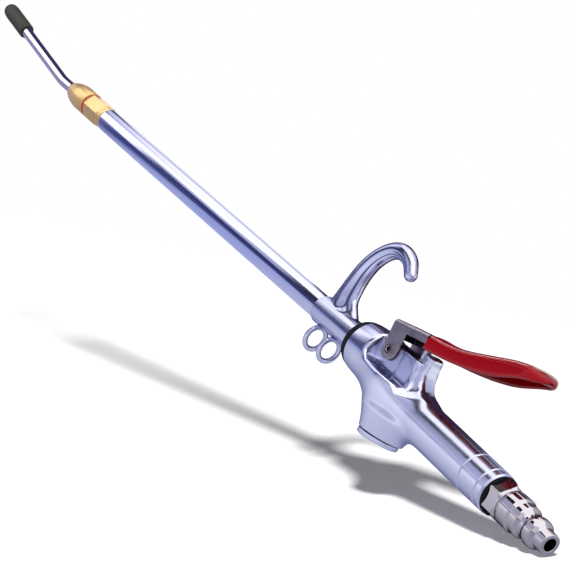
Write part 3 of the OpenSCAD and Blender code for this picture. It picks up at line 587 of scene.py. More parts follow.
dress(turned("collar", COLLAR_LINE), satin_casting, "gun", "hook_collar", slot="casting")
dress(turned("joint_ring", RING_LINE), black_rubber, "gun", "front_seal", slot="black_rubber")

# %% [markdown]
# The hook
#
# The hook is a cast bar that rises from a flared foot on the collar and bends back over a half
# turn, growing slimmer to its round tip. It is a profile carried along a path: at each station
# the profile is an oval with a shallow crease along each side, nearer to the inside of the
# bend. The path is a smooth curve through ten listed points.

# %% The hook's path and sizes
HOOK_LINE = np.array([(141.8, 2.0, 9.6), (143.47, 8.55, 5.83), (143.67, 14.5, 4.53),
                      (143.15, 20.37, 3.9), (141.43, 25.72, 3.43), (138.5, 30.18, 3.12),
                      (134.68, 33.3, 3.05), (130.17, 34.35, 3.02), (125.65, 33.17, 2.79),
                      (122.11, 29.82, 2.48)])
HOOK_SIDE = 3.1
FOOT_Z, FOOT_FADE, FOOT_SWELL, FOOT_TOP = 3.6, 1.1, 0.8, 12.0
CREASE_LOW, CREASE_SPAN, CREASE_LEAST_HALF = 6.0, 24.0, 2.3


def smooth_through(points, steps):
    """A smooth curve through the points. Between two of them it is the cubic
    whose slope at each end is half the way from the point before to the
    point after."""
    p = np.concatenate([2 * points[:1] - points[1:2], points, 2 * points[-1:] - points[-2:-1]])
    a, b, c, d = (p[k:len(p) - 3 + k, None] for k in range(4))
    t = np.linspace(0, 1, steps, endpoint=False)[None, :, None]
    curve = b + (c - a) * t / 2 + (2 * a - 5 * b + 4 * c - d) * t ** 2 / 2 \
        + (3 * (b - c) + d - a) * t ** 3 / 2
    return np.concatenate([curve.reshape(-1, points.shape[1]), points[-1:]])


print("the hook rises to", HOOK_LINE[:, 1].max(), "mm above the barrel's axis")

# %% Hook
def hook_rings(around=80):
    """Stations along the path hold x, z and the half width in the hook's
    plane. The half width across it is at most HOOK_SIDE and swells where the
    foot meets the collar; the tip closes in a dome. The crease is a dip of
    the shape exp(-t t), deepest a little to the inside of the bend."""
    path = smooth_through(HOOK_LINE, 9)
    way = np.gradient(path[:, :2], axis=0)
    way = way / np.hypot(way[:, :1], way[:, 1:])
    dome = np.sin(np.linspace(0, np.pi / 2, 9))[1:-1, None]
    tip = path[-1, 2]
    centre = np.concatenate([path[:, :2], path[-1:, :2] + tip * dome * way[-1:]])
    way = np.concatenate([way, np.repeat(way[-1:], len(dome), 0)])
    half = np.concatenate([path[:, 2:], tip * np.sqrt(1 - dome ** 2)])
    foot = np.exp(-np.maximum(centre[:, 1:] - FOOT_Z, 0) / FOOT_FADE)
    side = np.minimum(half, HOOK_SIDE) + FOOT_SWELL * foot * (centre[:, 1:] < FOOT_TOP)
    a = full_turn(around)[None]
    across = np.cos(a)
    rise = smooth_step((centre[:, 1:] - CREASE_LOW) / CREASE_SPAN)
    width, depth = 0.30 - 0.1 * rise, (0.42 - 0.2 * rise) * (half > CREASE_LEAST_HALF)
    crease = depth * np.exp(-((across + 0.3 + 0.2 * rise) / width) ** 2) * (1 - foot)
    u, y = half * across, side * np.sin(a) * (1 - crease)
    return np.stack([centre[:, :1] + u * way[:, 1:], y, centre[:, 1:] - u * way[:, :1]], -1)


dress(closed_mesh("hook", hook_rings(), sharp=60), hook_casting, "gun", slot="casting")

# %% [markdown]
# The two rings under the collar
#
# Two small round eyes hang under the collar, cast in one with it. A ring is a
# torus, and Blender has one ready made, but the same grid helper makes it
# with its place already in the mesh.

# %% Rings
def ring_rings(x, mean=4.3, wire=0.95, drop=9.75):
    """A torus: a small circle of angle b carried round a big one of angle a."""
    a, b = full_turn(96)[:, None], full_turn(24)[None]
    reach = mean + wire * np.cos(b)
    return np.stack([x + wire * np.sin(b) + 0 * a, reach * np.cos(a),
                     reach * np.sin(a) - drop], -1)


for label, at in (("front_ring", 146.6), ("rear_ring", 137.3)):
    dress(closed_mesh(label, ring_rings(at), caps=False), hook_casting, "gun", slot="casting")

# %% [markdown]
# The inlet plug
#
# A plug that a hose coupling snaps onto: nose, rib, locking groove and shank
# are turned, and the hexagon behind them takes a spanner. A hexagon is turned
# too: at each station its radius is the smaller of the hexagon's own radius
# at that angle and a cone that chamfers its corners.

# %% Hexagons
def hexagonal(name, corners, flat, place=along_barrel, turn=0.0, around=240):
    """As turned, but no point lies outside the six flats: at angle a the
    hexagon's radius is half its width over the cosine of the angle to the
    nearest flat."""
    p = rounded_profile(corners)
    a = full_turn(around)[None]
    near = (a - turn + np.pi / 6) % (np.pi / 3) - np.pi / 6
    r = np.maximum(soft_min(p[:, 1:], flat / 2 / np.cos(near), 0.12), 0)
    s = np.repeat(p[:, :1], around, 1)
    return closed_mesh(name, np.stack(place(s, r * np.cos(a), r * np.sin(a)), -1), sharp=24)


print("ready to turn hexagons")

# %% Plug, its hexagon and its washer
NOSE_R, BORE_R, BORE_DEEP, RIB_R, LOCK_R, SHANK_R, BASE_R = 3.95, 2.4, 14, 5.5, 4.7, 5.95, 6.55
HEX_REAR, HEX_FRONT, HEX_FLAT, HEX_CORNER, HEX_TURN, WASHER_R = 23.7, 29.7, 12.7, 7.34, 50, 7.35
PLUG_LINE = [
    (BORE_DEEP, 0, 0), (BORE_DEEP, BORE_R, 0), (0, BORE_R, 0.2), (0, NOSE_R, 0.5),
    (4.3, NOSE_R, 0.4), (5.6, 5.25, 0.5), (6.6, RIB_R, 0.8), (8.8, RIB_R, 0.8),
    (10.3, LOCK_R, 0.6), (12.0, LOCK_R, 0.6), (13.4, SHANK_R, 0.5), (16.6, SHANK_R, 0.4),
    (17.5, BASE_R, 0.5), (22.5, BASE_R, 0.4), (22.9, 6.0, 0.2), (HEX_REAR, 6.0, 0.1),
    (HEX_REAR + 0.1, 0, 0)]
HEX_LINE = [
    (HEX_REAR, 0, 0), (HEX_REAR, 6.2, 0), (24.9, HEX_CORNER, 0.3),
    (HEX_FRONT, HEX_CORNER, 0.3), (HEX_FRONT, 0, 0)]
WASHER_LINE = [
    (HEX_FRONT, 0, 0), (HEX_FRONT, WASHER_R, 0.25), (HANDLE_END, WASHER_R, 0.25),
    (HANDLE_END, 0, 0)]
dress(turned("plug", PLUG_LINE, along_handle), plug_nickel, "gun", "inlet_plug",
      slot="nickel")
dress(hexagonal("plug_hexagon", HEX_LINE, HEX_FLAT, along_handle, math.radians(HEX_TURN)),
      plug_nickel, "gun", slot="nickel")
dress(turned("plug_washer", WASHER_LINE, along_handle), black_rubber, "gun", "inlet_seal",
      slot="black_rubber")

# %% [markdown]
# The cap under the valve
#
# A screwed cap closes the spring's chamber, with a thin black gasket under
# its rim that shows as one dark line.

# %% Cap and gasket
CAP_R, CAP_LOW, GASKET_LOW, GASKET_R, CAP_NECK_R = 7.9, -2.3, -0.5, 7.6, 5.9
CAP_LINE = [
    (CAP_LOW, 0, 0), (CAP_LOW, CAP_R, 0.7), (GASKET_LOW, CAP_R, 0.2),
    (GASKET_LOW, CAP_NECK_R, 0), (1, CAP_NECK_R, 0), (1, 0, 0)]
GASKET_LINE = [
    (GASKET_LOW, CAP_NECK_R + 0.02, 0), (GASKET_LOW, GASKET_R, 0.1), (0, GASKET_R, 0.1),
    (0, CAP_NECK_R + 0.02, 0)]
dress(turned("cap", CAP_LINE, along_valve), satin_casting, "gun", "valve_cap", slot="casting")
dress(turned("cap_gasket", GASKET_LINE, along_valve), black_rubber, "gun", "cap_seal",
      slot="black_rubber")

# %% [markdown]
# Brass fitting, gland nut, bent tube and tip
#
# The barrel ends in a brass fitting. A nut with a domed nose clamps the thin
# steel tube, which can be turned to aim the air. A soft tip is pushed over
# the tube's end and keeps it from scratching the work.

# %% Fitting, washer and nut
FITTING_R, NECK_R, FITTING_REAR, FITTING_FRONT = 4.6, 3.6, 306.6, 341.0
FLAT_REAR, FLAT_FRONT, FLAT_WIDE, FLAT_CORNER, CHAMFER = 321.0, 332.4, 9.2, 5.32, 0.7
NUT_REAR, NUT_FRONT, NUT_R, TUBE_R, RED_R = 333.6, 350.0, 5.05, 2.18, 4.85
FITTING_LINE = [
    (FITTING_REAR, 0, 0), (FITTING_REAR, BARREL_BORE, 0), (BARREL_END, BARREL_BORE, 0),
    (BARREL_END, FITTING_R, 0.35), (321.2, FITTING_R, 0.2), (321.4, NECK_R, 0),
    (FITTING_FRONT, NECK_R, 0), (FITTING_FRONT, 0, 0)]
FLAT_LINE = [
    (FLAT_REAR, 0, 0), (FLAT_REAR, FITTING_R, 0), (FLAT_REAR + CHAMFER, FLAT_CORNER, 0.2),
    (FLAT_FRONT - CHAMFER, FLAT_CORNER, 0.2), (FLAT_FRONT, FITTING_R, 0), (FLAT_FRONT, 0, 0)]
RED_LINE = [
    (FLAT_FRONT, 0, 0), (FLAT_FRONT, RED_R, 0.25), (NUT_REAR, RED_R, 0.25), (NUT_REAR, 0, 0)]
NUT_LINE = [
    (NUT_REAR, 3.7, 0), (NUT_REAR, NUT_R, 0.3), (342, NUT_R, 1.5), (346.5, 4.15, 1.6),
    (348.6, 3.35, 0.8), (NUT_FRONT, 2.6, 0.3), (NUT_FRONT, TUBE_R + 0.04, 0)]
dress(turned("fitting", FITTING_LINE), turned_brass, "gun", "nozzle_fitting", slot="brass")
dress(hexagonal("fitting_hexagon", FLAT_LINE, FLAT_WIDE, turn=math.radians(30)),
      turned_brass, "gun", slot="brass")
dress(turned("red_ring", RED_LINE), red_washer, "gun", "seal_washer", slot="red_washer")
dress(turned("nut", NUT_LINE), turned_brass, "gun", "gland_nut", slot="brass")

# %% Bent tube and soft tip
TUBE_REAR, TUBE_STRAIGHT = 338.5, 56.2
TIP_LINE = [
    (38.6, 2.2, 0), (38.5, 2.9, 0.2), (38.9, 3.2, 0.3), (55.2, 3.2, 1.6), (57.4, 2.85, 0.7),
    (58.4, 2.0, 0.4), (58.2, 1.2, 0.15), (57.2, 1.2, 0), (56.4, 0, 0)]


def tube_rings(around=64):
    """The tube's axis runs straight, turns up through the bend's angle and
    runs straight again; each ring is a circle across it."""
    bend = np.linspace(0, BEND, 14)
    end_x, _, end_z = along_tube(TUBE_STRAIGHT, 0, 0)
    x = np.concatenate([[TUBE_REAR, NUT_FRONT], BEND_X + BEND_R * np.sin(bend), [end_x]])
    z = np.concatenate([[0, 0], BEND_R * (1 - np.cos(bend)), [end_z]])
    tilt = np.concatenate([[0, 0], bend, [BEND]])[:, None]
    a = full_turn(around)[None]
    u = TUBE_R * np.sin(a)
    return np.stack([x[:, None] - u * np.sin(tilt), TUBE_R * np.cos(a) + 0 * tilt,
                     z[:, None] + u * np.cos(tilt)], -1)


dress(closed_mesh("bent_tube", tube_rings()), bright_nickel, "nozzle", "nozzle_tube",
      slot="nickel")
dress(turned("soft_tip", TIP_LINE, along_tube), tip_rubber, "nozzle", "rubber_tip",
      slot="tip_rubber")

# %% [markdown]
# The grip on the lever
#
# The grip is a channel of soft red vinyl, open below, that sleeves the steel
# lever and runs on behind it in a gentle S. Its skin is a closed profile
# carried along x: up the outside, over the rounded top, down the other side,
# round the lip and back through the hollow.

# %% The grip's heights and widths
GRIP_FRONT, GRIP_END, GRIP_WALL, LIP = 91.2, 37.4, 1.4, 0.25
GRIP_HALF, GRIP_FLARE, END_HALF, NOSE_LONG = 6.9, 0.4, 0.9, 9.0
GRIP_TOP = np.array([(91.2, 19.75), (88, 20.15), (84.7, 20.6), (78, 22.0), (72.3, 23.7),
                     (65, 26.4), (58.9, 28.7), (53.5, 30.8), (49.1, 32.2), (46, 33.0),
                     (43.3, 33.4), (41.2, 33.4), (39.4, 33.0), (38.2, 32.4), (37.4, 31.7)])
GRIP_LOW = np.array([(91.2, 14.0), (88, 14.4), (85.8, 14.7), (77.9, 16.1), (72, 17.4),
                     (67, 18.6), (60, 20.7), (56.5, 22.0), (53.6, 23.3), (50.5, 24.9),
                     (47.6, 26.4), (45.5, 27.4), (43.2, 28.3), (40.5, 29.2), (38.6, 30.2),
                     (37.4, 31.2)])


def smooth_line(points, x):
    """Heights at x through listed points, by a smoothed broken line: the line is averaged over
    a window 4 mm long."""
    p = points[::-1]
    window = np.linspace(-2, 2, 17) * np.clip((x[:, None] - GRIP_END) / 3, 0.05, 1)
    reach = np.clip(x[:, None] + window, GRIP_END, GRIP_FRONT)
    return np.interp(reach, p[:, 0], p[:, 1]).mean(1)


def grip_sizes(x):
    """Half width, top and lower edge at each x, then the hollow's half width
    and roof. The plan narrows to the rear end along a quarter of an ellipse,
    and the hollow closes a little before the end."""
    top = smooth_line(GRIP_TOP, x[:, 0])[:, None]
    low = smooth_line(GRIP_LOW, x[:, 0])[:, None]
    nose = np.clip((x - GRIP_END) / NOSE_LONG, 0, 1)
    half = GRIP_HALF + GRIP_FLARE * smooth_step((85 - x) / 30)
    half = END_HALF + (half - END_HALF) * np.sqrt(np.clip(1 - (1 - nose) ** 2, 0, 1))
    lip_in = np.clip((GRIP_FRONT - x) / 0.4, 0, 1) * LIP - LIP
    half, top, low = half + lip_in, top + lip_in, low - lip_in
    roof = low + 0.05 + (top - GRIP_WALL - low - 0.05) * smooth_step((x - 38.4) / 2.6)
    return half, top, low, np.maximum(half - GRIP_WALL, 0.3), roof


print("grip:", round(GRIP_FRONT - GRIP_END, 1), "mm long")

# %% Grip
CORNER_R, IN_CORNER_R, CROWN = 2.4, 1.6, 0.25


def grip_rings():
    """At each x the profile goes up one side with a rounded corner, over the
    crowned top and down the other side; then the same way back inside."""
    x = stops(GRIP_FRONT, (90.8, 3), (47, 70), (39, 26), (GRIP_END, 20))[:, None]
    half, top, low, inner, roof = grip_sizes(x)
    rim = GRIP_WALL / 2
    corner = np.minimum(np.minimum(CORNER_R, 0.45 * (top - low)), 0.8 * half)
    q = np.linspace(0, np.pi / 2, 11)[None]
    up = np.linspace(0, 1, 6)[None, :-1]
    right = np.concatenate([half + 0 * up, half - corner + corner * np.cos(q)], 1)
    rise = np.concatenate([low + rim + (top - corner - low - rim) * up,
                           top - corner + corner * np.sin(q)], 1)
    across = np.linspace(1, -1, 13)[None, 1:-1]
    crown = CROWN * (1 - across ** 2)
    roof_y = (half - corner) * across
    in_corner = np.minimum(IN_CORNER_R, 0.4 * np.minimum(inner, roof - low + 0.01))
    in_right = np.concatenate([inner + 0 * up, inner - in_corner + in_corner * np.cos(q)], 1)
    in_rise = np.concatenate([low + rim + (roof - in_corner - low - rim) * up,
                              roof - in_corner + in_corner * np.sin(q)], 1)
    in_rise = np.maximum(in_rise, low + 0.02)
    lip = np.linspace(0, np.pi, 9)[None, 1:-1]
    middle, swing = (half + inner) / 2, (half - inner) / 2
    lip_y, lip_z = middle - swing * np.cos(lip), low + rim * (1 - np.sin(lip))
    y = np.concatenate([right, roof_y, -right[:, ::-1], -lip_y[:, ::-1], -in_right,
                        (inner - in_corner) * -across, in_right[:, ::-1], lip_y], 1)
    z = np.concatenate([rise, top + crown, rise[:, ::-1], lip_z[:, ::-1], in_rise,
                        roof + 0 * across, in_rise[:, ::-1], lip_z], 1)
    return np.stack([x + 0 * y, y, z], -1)


dress(closed_mesh("grip", grip_rings()), red_vinyl, "lever", "lever_grip",
      slot="grip_rubber")

# %% [markdown]
# The lever's sheet metal
#
# The lever is one bent sheet: a top plate, two short flanges and two ears
# that reach down to the pin. Its edges are broken by a small bevel, which
# shows as a pale line round each ear. Each side is a flat outline with a
# bevel, carried across the lever; the top plate comes last.

# %% The lever's frame and its outlines
PIVOT_X, PIVOT_Z, LEVER_RISE = 104.8, 6.4, math.radians(9.7)
LEVER_HALF, SHEET, LEVER_TOP, FLANGE_LOW, BEND_OUT = 6.5, 1.0, 10.7, 7.2, 1.6
EAR_FRONT, EAR_BACK, EAR_R, GRIP_FROM = -3.6, 4.0, 3.75, 13.8


def along_lever(s, y, z):
    """The lever's frame at the pin: s runs rearward along the lever, which
    rises toward its rear end."""
    c, w = math.cos(LEVER_RISE), math.sin(LEVER_RISE)
    return PIVOT_X - s * c + z * w, y, PIVOT_Z + s * w + z * c


def arc(x, z, r, start, end, steps):
    """Points on a circle from one angle to another, in degrees."""
    a = np.radians(np.linspace(start, end, steps))
    return np.stack([x + r * np.cos(a), z + r * np.sin(a)], -1)


def inset(outline, by):
    """Each point moves to the inside by the mean of its two edge normals."""
    d = np.roll(outline, -1, 0) - outline
    d = d / np.hypot(d[:, :1], d[:, 1:])
    n = np.stack([-d[:, 1], d[:, 0]], -1)
    m = n + np.roll(n, 1, 0)
    return outline + by * m / np.maximum((m * n).sum(1, keepdims=True), 0.5)


def across_lever(s, outline):
    """An outline that stands across the lever at station s."""
    return np.stack(along_lever(np.full(len(outline), s), outline[:, 0], outline[:, 1]), -1)


print("the lever rises", round(math.degrees(LEVER_RISE), 2), "degrees")

# %% The lever's two sides with their ears
def side_plate(name, outline, y_in, y_out, bevel=0.14):
    """A flat piece between two y values whose outline is bevelled: rings of
    the outline, drawn in at both ends."""
    step = bevel * np.sign(y_out - y_in)
    rings = [(y_in, bevel), (y_in + step, 0.0), (y_out - step, 0.0), (y_out, bevel)]
    out = []
    for y, by in rings:
        line = inset(outline, by)
        out.append(np.stack(along_lever(line[:, 0], np.full(len(line), y), line[:, 1]), -1))
    return closed_mesh(name, np.array(out), sharp=25)


SIDE_TOP = LEVER_TOP - BEND_OUT + 0.12
EAR_LINE = np.concatenate([
    arc(0, 0, EAR_R, 196, 350, 30),
    [(EAR_BACK - 0.1, 1.5), (EAR_BACK, 4.0)],
    arc(EAR_BACK + 0.8, FLANGE_LOW - 0.8, 0.8, 180, 90, 6),
    [(8.0, FLANGE_LOW), (GRIP_FROM + 1, FLANGE_LOW), (GRIP_FROM + 1, SIDE_TOP),
     (EAR_FRONT, SIDE_TOP)]])
for label, way in (("lever_left", 1), ("lever_right", -1)):
    dress(side_plate(label, EAR_LINE, way * (LEVER_HALF - SHEET), way * LEVER_HALF),
          dark_nickel, "lever", slot="lever_steel")

# %% [markdown]
# A black plate of painted shade between the ears
#
# Between the ears the photograph shows a dark area whose nature can't be read; it lies in shade
# inside the lever's channel. A thin near-black plate across the lever, with a shallow notch in
# its top, stands for that shade: it is painted shade. It is an outline carried from one station
# to the next.

# %% The plate of painted shade
SHADE_PLATE_FRONT, SHADE_PLATE_REAR = -2.9, -2.3
SHADE_PLATE_LINE = np.array([(-5.2, 4.6), (5.2, 4.6), (5.2, 9.6), (3.6, 9.6), (2.6, 8.6), (0.8, 8.2),
                     (-1.2, 8.6), (-2.6, 9.6), (-5.2, 9.6)])
shade_plate_rings = np.array([across_lever(s, SHADE_PLATE_LINE) for s in (SHADE_PLATE_FRONT, SHADE_PLATE_REAR)])
# The plate's near-black finish is painted shade between the ears.
dress(closed_mesh("lever_shade_plate", shade_plate_rings, sharp=25), black_rubber, "lever",
      slot="black_rubber")

# %% [markdown]
# The lever's pin
#
# The lever turns on a hollow pin. All that shows is a small bright ring on
# each ear with a dark bore, so only its two ends are turned here, and the
# ends are mirrored by turning the sign of their stations. The CAD pin stays
# between them.

# %% The pin's two ends and their bores
def across_pin(s, y, z):
    """The pin's axis runs across the lever."""
    return PIVOT_X + y, s, PIVOT_Z + z


PIN_IN, PIN_OUT, PIN_R, PIN_BORE_R = 6.3, 7.0, 2.1, 1.0
PIN_END = [(PIN_IN, PIN_BORE_R, 0), (PIN_IN, PIN_R, 0), (PIN_OUT, PIN_R, 0.45),
           (PIN_OUT, PIN_BORE_R, 0.3), (6.4, PIN_BORE_R, 0)]
PIN_BORE = [(PIN_IN, 0, 0), (PIN_IN, 1.1, 0), (6.6, 1.1, 0), (6.6, 0, 0)]
for label, way in (("near", 1), ("far", -1)):
    dress(turned("pin_" + label, [(way * a, r, k) for a, r, k in PIN_END], across_pin,
                 around=48), bright_nickel, "lever", slot="nickel")
    dress(turned("bore_" + label, [(way * a, r, k) for a, r, k in PIN_BORE], across_pin,
                 around=48), black_rubber, "lever", slot="black_rubber")

# %% [markdown]
# The lever's top plate
#
# Across the lever the top of the sheet is a shallow bridge: up round one
# bend, flat over the top and down round the other. That section is carried
# along the lever, straight, so three stations are enough.

# %% The lever's top plate
TOP_DRAW = 0.97


def lever_top_rings():
    """The plate's profile: a half turn of sheet from one bend to the other,
    outer line first and inner line back. Its front end is drawn in a little,
    which breaks the edge."""
    corner = LEVER_HALF - BEND_OUT
    level = LEVER_TOP - BEND_OUT
    outer = np.concatenate([arc(corner, level, BEND_OUT, 0, 90, 9),
                            arc(-corner, level, BEND_OUT, 90, 180, 9)])
    inner = np.concatenate([arc(-corner, level, BEND_OUT - SHEET, 180, 90, 9),
                            arc(corner, level, BEND_OUT - SHEET, 90, 0, 9)])
    line = np.concatenate([outer, inner])
    middle = np.array([0, level + BEND_OUT - SHEET / 2])
    out = []
    for s, draw in ((EAR_FRONT, TOP_DRAW), (EAR_FRONT + 0.15, 1.0), (GRIP_FROM + 1, 1.0)):
        out.append(across_lever(s, middle + (line - middle) * draw))
    return np.array(out)


dress(closed_mesh("lever_plate", lever_top_rings(), sharp=25), dark_nickel, "lever", "lever",
      slot="lever_steel")

# %% [markdown]
# Floor, light and camera
#
# The tool stands over a plain pale floor, which slopes away under the barrel
# so that the soft shadow falls as it does under a tool that rests on its
# plug. The floor takes the shadow, and the camera sees it lifted to white.

# %% Floor
FLOOR_SLOPE, FLOOR_Z = (-0.355, -0.428), -5.0
FLOOR_X, FLOOR_Y = (-400, 900), (-330, 500)
FLOOR_GREY, CAMERA_LIFT = 0.95, 0.10


def plain_sheet(name, corners, material):
    """A flat sheet through its corners, in millimetres. Its heights count
    from the plug's nose, BARREL_RISE below the barrel's axis."""
    mesh = bpy.data.meshes.new(name)
    mesh.from_pydata([tuple(c * MM for c in p) for p in corners], [],
                     [list(range(len(corners)))])
    sheet = bpy.data.objects.new(name, mesh)
    bpy.context.scene.collection.objects.link(sheet)
    sheet.data.materials.append(material)
    return sheet


def floor_material():
    """A plain pale surface without gloss. The camera sees it a little
    brighter, so that it is as white as the world round it."""
    m = bpy.data.materials.new("studio_floor")
    m.use_nodes = True
    shader = m.node_tree.nodes["Principled BSDF"]
    shader.inputs["Roughness"].default_value = 0.9
    shader.inputs["Specular IOR Level"].default_value = 0.0
    shader.inputs["Base Color"].default_value = (FLOOR_GREY, FLOOR_GREY, FLOOR_GREY, 1)
    shader.inputs["Emission Color"].default_value = (1, 1, 1, 1)
    path = m.node_tree.nodes.new("ShaderNodeLightPath")
    lift = m.node_tree.nodes.new("ShaderNodeMath")
    lift.operation = "MULTIPLY"
    lift.inputs[1].default_value = CAMERA_LIFT
    m.cycles.emission_sampling = "NONE"
    m.node_tree.links.new(path.outputs["Is Camera Ray"], lift.inputs[0])
    m.node_tree.links.new(lift.outputs[0], shader.inputs["Emission Strength"])
    return m


(west, east), (south, north) = FLOOR_X, FLOOR_Y
floor_corners = [(x, y, FLOOR_Z + FLOOR_SLOPE[0] * x + FLOOR_SLOPE[1] * y)
                 for x, y in ((west, south), (east, south), (east, north), (west, north))]
floor = plain_sheet("floor", floor_corners, floor_material())
floor.visible_glossy = False
print("floor:", east - west, "by", north - south, "mm")

# %% [markdown]
# What the bright metal mirrors
#
# Polished metal shows its surroundings and hardly any colour of its own, so
# the dark and light bands on the barrel are the look of this tool. In place
# of the floor the metal sees a level sheet with a soft pattern, and cards
# stand and lie round the tool where its round pieces need a band. The camera
# and the shadows do not see them.

# %% Glowing sheets that only reflections see
def glow_material(name, colour, strength=1.0):
    """A surface that shows one colour whatever light falls on it."""
    m = bpy.data.materials.new(name)
    m.use_nodes = True
    n, link = m.node_tree.nodes, m.node_tree.links.new
    n.remove(n["Principled BSDF"])
    m.cycles.emission_sampling = "NONE"
    glow = n.new("ShaderNodeEmission")
    glow.inputs["Color"].default_value = (*colour, 1)
    glow.inputs["Strength"].default_value = strength
    link(glow.outputs["Emission"], n["Material Output"].inputs["Surface"])
    return m, glow


def only_mirrored(sheet):
    """Hides a sheet from everything but reflections."""
    sheet.visible_camera = sheet.visible_diffuse = sheet.visible_shadow = False
    sheet.visible_transmission = sheet.visible_volume_scatter = False


print("ready to hang cards")

# %% Numbers from places
def with_vector(n, link, operation, value, other):
    """A number from a vector and a fixed one: their distance or product."""
    v = n.new("ShaderNodeVectorMath")
    v.operation = operation
    v.inputs[1].default_value = other
    link(value, v.inputs[0])
    return v.outputs["Value"]


def product(n, link, a, b):
    """One number times another."""
    m = n.new("ShaderNodeMath")
    m.operation = "MULTIPLY"
    link(a, m.inputs[0])
    link(b, m.inputs[1])
    return m.outputs[0]


print("ready to measure places")

# %% The sheet under the tool
MARKS_FROM, MARKS_TO = 0.03, 0.26
MARKS = [(0.0, (0.46, 0.47, 0.58)), (0.25, (0.46, 0.47, 0.62)), (0.45, (0.76, 0.79, 0.86)),
         (0.6, (0.70, 0.74, 0.86)), (0.85, (0.54, 0.60, 0.88)), (1.0, (0.50, 0.56, 0.86))]
PATCH_AT, PATCH_REACH, PATCH = (0.085, 0.085, -0.0145), 0.13, (1.25, 1.28, 1.33)
DEEP_BLUE, FRONT_VIOLET = (0.07, 0.09, 0.24), (0.36, 0.37, 0.62)
SHEET_Z, SHEET_HALF = -14.5, 1500
ASIDE, ASIDE_SPAN, ALONG_SPAN = (1.0, 2.0, 0.0), (0.305, 0.385), (0.235, 0.305)
ONWARD, ONWARD_SPAN = (1.0, -1.0, 0.0), (0.325, 0.365)


def mirrored_floor():
    """Violet, paler under the hub, with a bright patch beside the boss, a
    dark region beside the barrel and a violet one in front of it. Places in
    it are metres, as the shader sees them."""
    m, glow = glow_material("mirrored_floor", DEEP_BLUE)
    n, link = m.node_tree.nodes, m.node_tree.links.new
    place = n.new("ShaderNodeNewGeometry").outputs["Position"]
    split = n.new("ShaderNodeSeparateXYZ")
    link(place, split.inputs[0])
    ramp = n.new("ShaderNodeValToRGB")
    e = ramp.color_ramp.elements
    while len(e) < len(MARKS):
        e.new(0.5)
    for mark, (at, colour) in zip(e, MARKS):
        mark.position, mark.color = at, (*colour, 1)
    link(map_range(n, link, split.outputs["X"], MARKS_FROM, MARKS_TO, "LINEAR"),
         ramp.inputs["Fac"])
    away = with_vector(n, link, "DISTANCE", place, PATCH_AT)
    near = map_range(n, link, away, PATCH_REACH, 0.0)
    colour = mix_colour(n, link, near, ramp.outputs["Color"], PATCH)
    aside = with_vector(n, link, "DOT_PRODUCT", place, ASIDE)
    beside = product(n, link, map_range(n, link, aside, *ASIDE_SPAN),
                     map_range(n, link, split.outputs["X"], *ALONG_SPAN))
    colour = mix_colour(n, link, beside, colour, DEEP_BLUE)
    onward = with_vector(n, link, "DOT_PRODUCT", place, ONWARD)
    ahead = map_range(n, link, onward, *ONWARD_SPAN)
    link(mix_colour(n, link, ahead, colour, FRONT_VIOLET), glow.inputs["Color"])
    return m


sheet_corners = [(x * SHEET_HALF, y * SHEET_HALF, SHEET_Z)
                 for x, y in ((-1, -1), (1, -1), (1, 1), (-1, 1))]
only_mirrored(plain_sheet("mirrored_floor", sheet_corners, mirrored_floor()))
print("mirrored floor:", SHEET_Z, "mm high")

# %% Cards round the tool
NEAR_Y, FAR_Y, ROOF_Z, STRIP_Z = 150, -60, 60, 109
navy, _ = glow_material("navy_card", (0.05, 0.06, 0.17))
black_card, _ = glow_material("black_card", (0.02, 0.02, 0.03))
plum, _ = glow_material("plum_card", (0.085, 0.035, 0.09))
night, _ = glow_material("night_card", (0.06, 0.05, 0.16))
white_card, _ = glow_material("white_card", (1.9, 1.9, 1.9))
gleam, _ = glow_material("gleam_card", (1.0, 1.0, 1.0), 9.0)


def standing(y, outline):
    """Corners of an upright card across y, from its (x, z) outline."""
    return [(x, y, z) for x, z in outline]


def lying(z, x_from, x_to, y_from, y_to):
    """Corners of a level strip at height z."""
    return [(x_from, y_from, z), (x_to, y_from, z), (x_to, y_to, z), (x_from, y_to, z)]


CARDS = [
    ("side_card", navy, standing(NEAR_Y, [
        (300, -14), (252, 10), (238, 30), (234, 62), (366, 62), (385, 48), (490, 34),
        (490, -14)])),
    ("upper_card", black_card, standing(NEAR_Y, [
        (234, 62), (230, 130), (290, 205), (385, 205), (375, 171), (328, 95), (328, 62)])),
    ("back_card", plum, standing(FAR_Y, [
        (100, -14), (100, 14), (108, 48), (140, 88), (257, 205), (280, 240), (345, 240),
        (325, 205), (250, 88), (238, 60), (228, 30), (228, -14)])),
    ("nozzle_card", plum, standing(FAR_Y, [
        (415, 15), (412, 60), (440, 95), (560, 150), (620, 60), (620, 15)])),
    ("gleam_strip", gleam, lying(ROOF_Z, 66, 134, 3, 8)),
    ("nozzle_light", white_card, standing(NEAR_Y, [
        (500, -14), (500, 84), (530, 160), (640, 160), (640, -14)])),
    ("nozzle_roof", night, lying(ROOF_Z, 397, 500, -45, 24)),
    ("lit_card", white_card, standing(NEAR_Y, [
        (405, 100), (405, 190), (430, 320), (760, 320), (760, 85), (520, 85)])),
    ("near_strip", black_card, lying(STRIP_Z, 100, 215, 72, 140)),
    ("top_strip", black_card, lying(STRIP_Z, 100, 152, -7, 17)),
    ("far_strip", black_card, lying(STRIP_Z, 100, 196, -109, -61))]
for name, look, corners in CARDS:
    only_mirrored(plain_sheet(name, corners, look))
print("cards:", len(CARDS))

# %% [markdown]
# World and lamp
#
# The world answers each kind of ray in its own way: white to the camera, one
# grey level to matt surfaces, and a studio to mirrors. There it is white
# above, pale behind and at the horizon, violet between, and pale again where
# the viewer stands. One lamp with a wide disc makes the soft shadow.

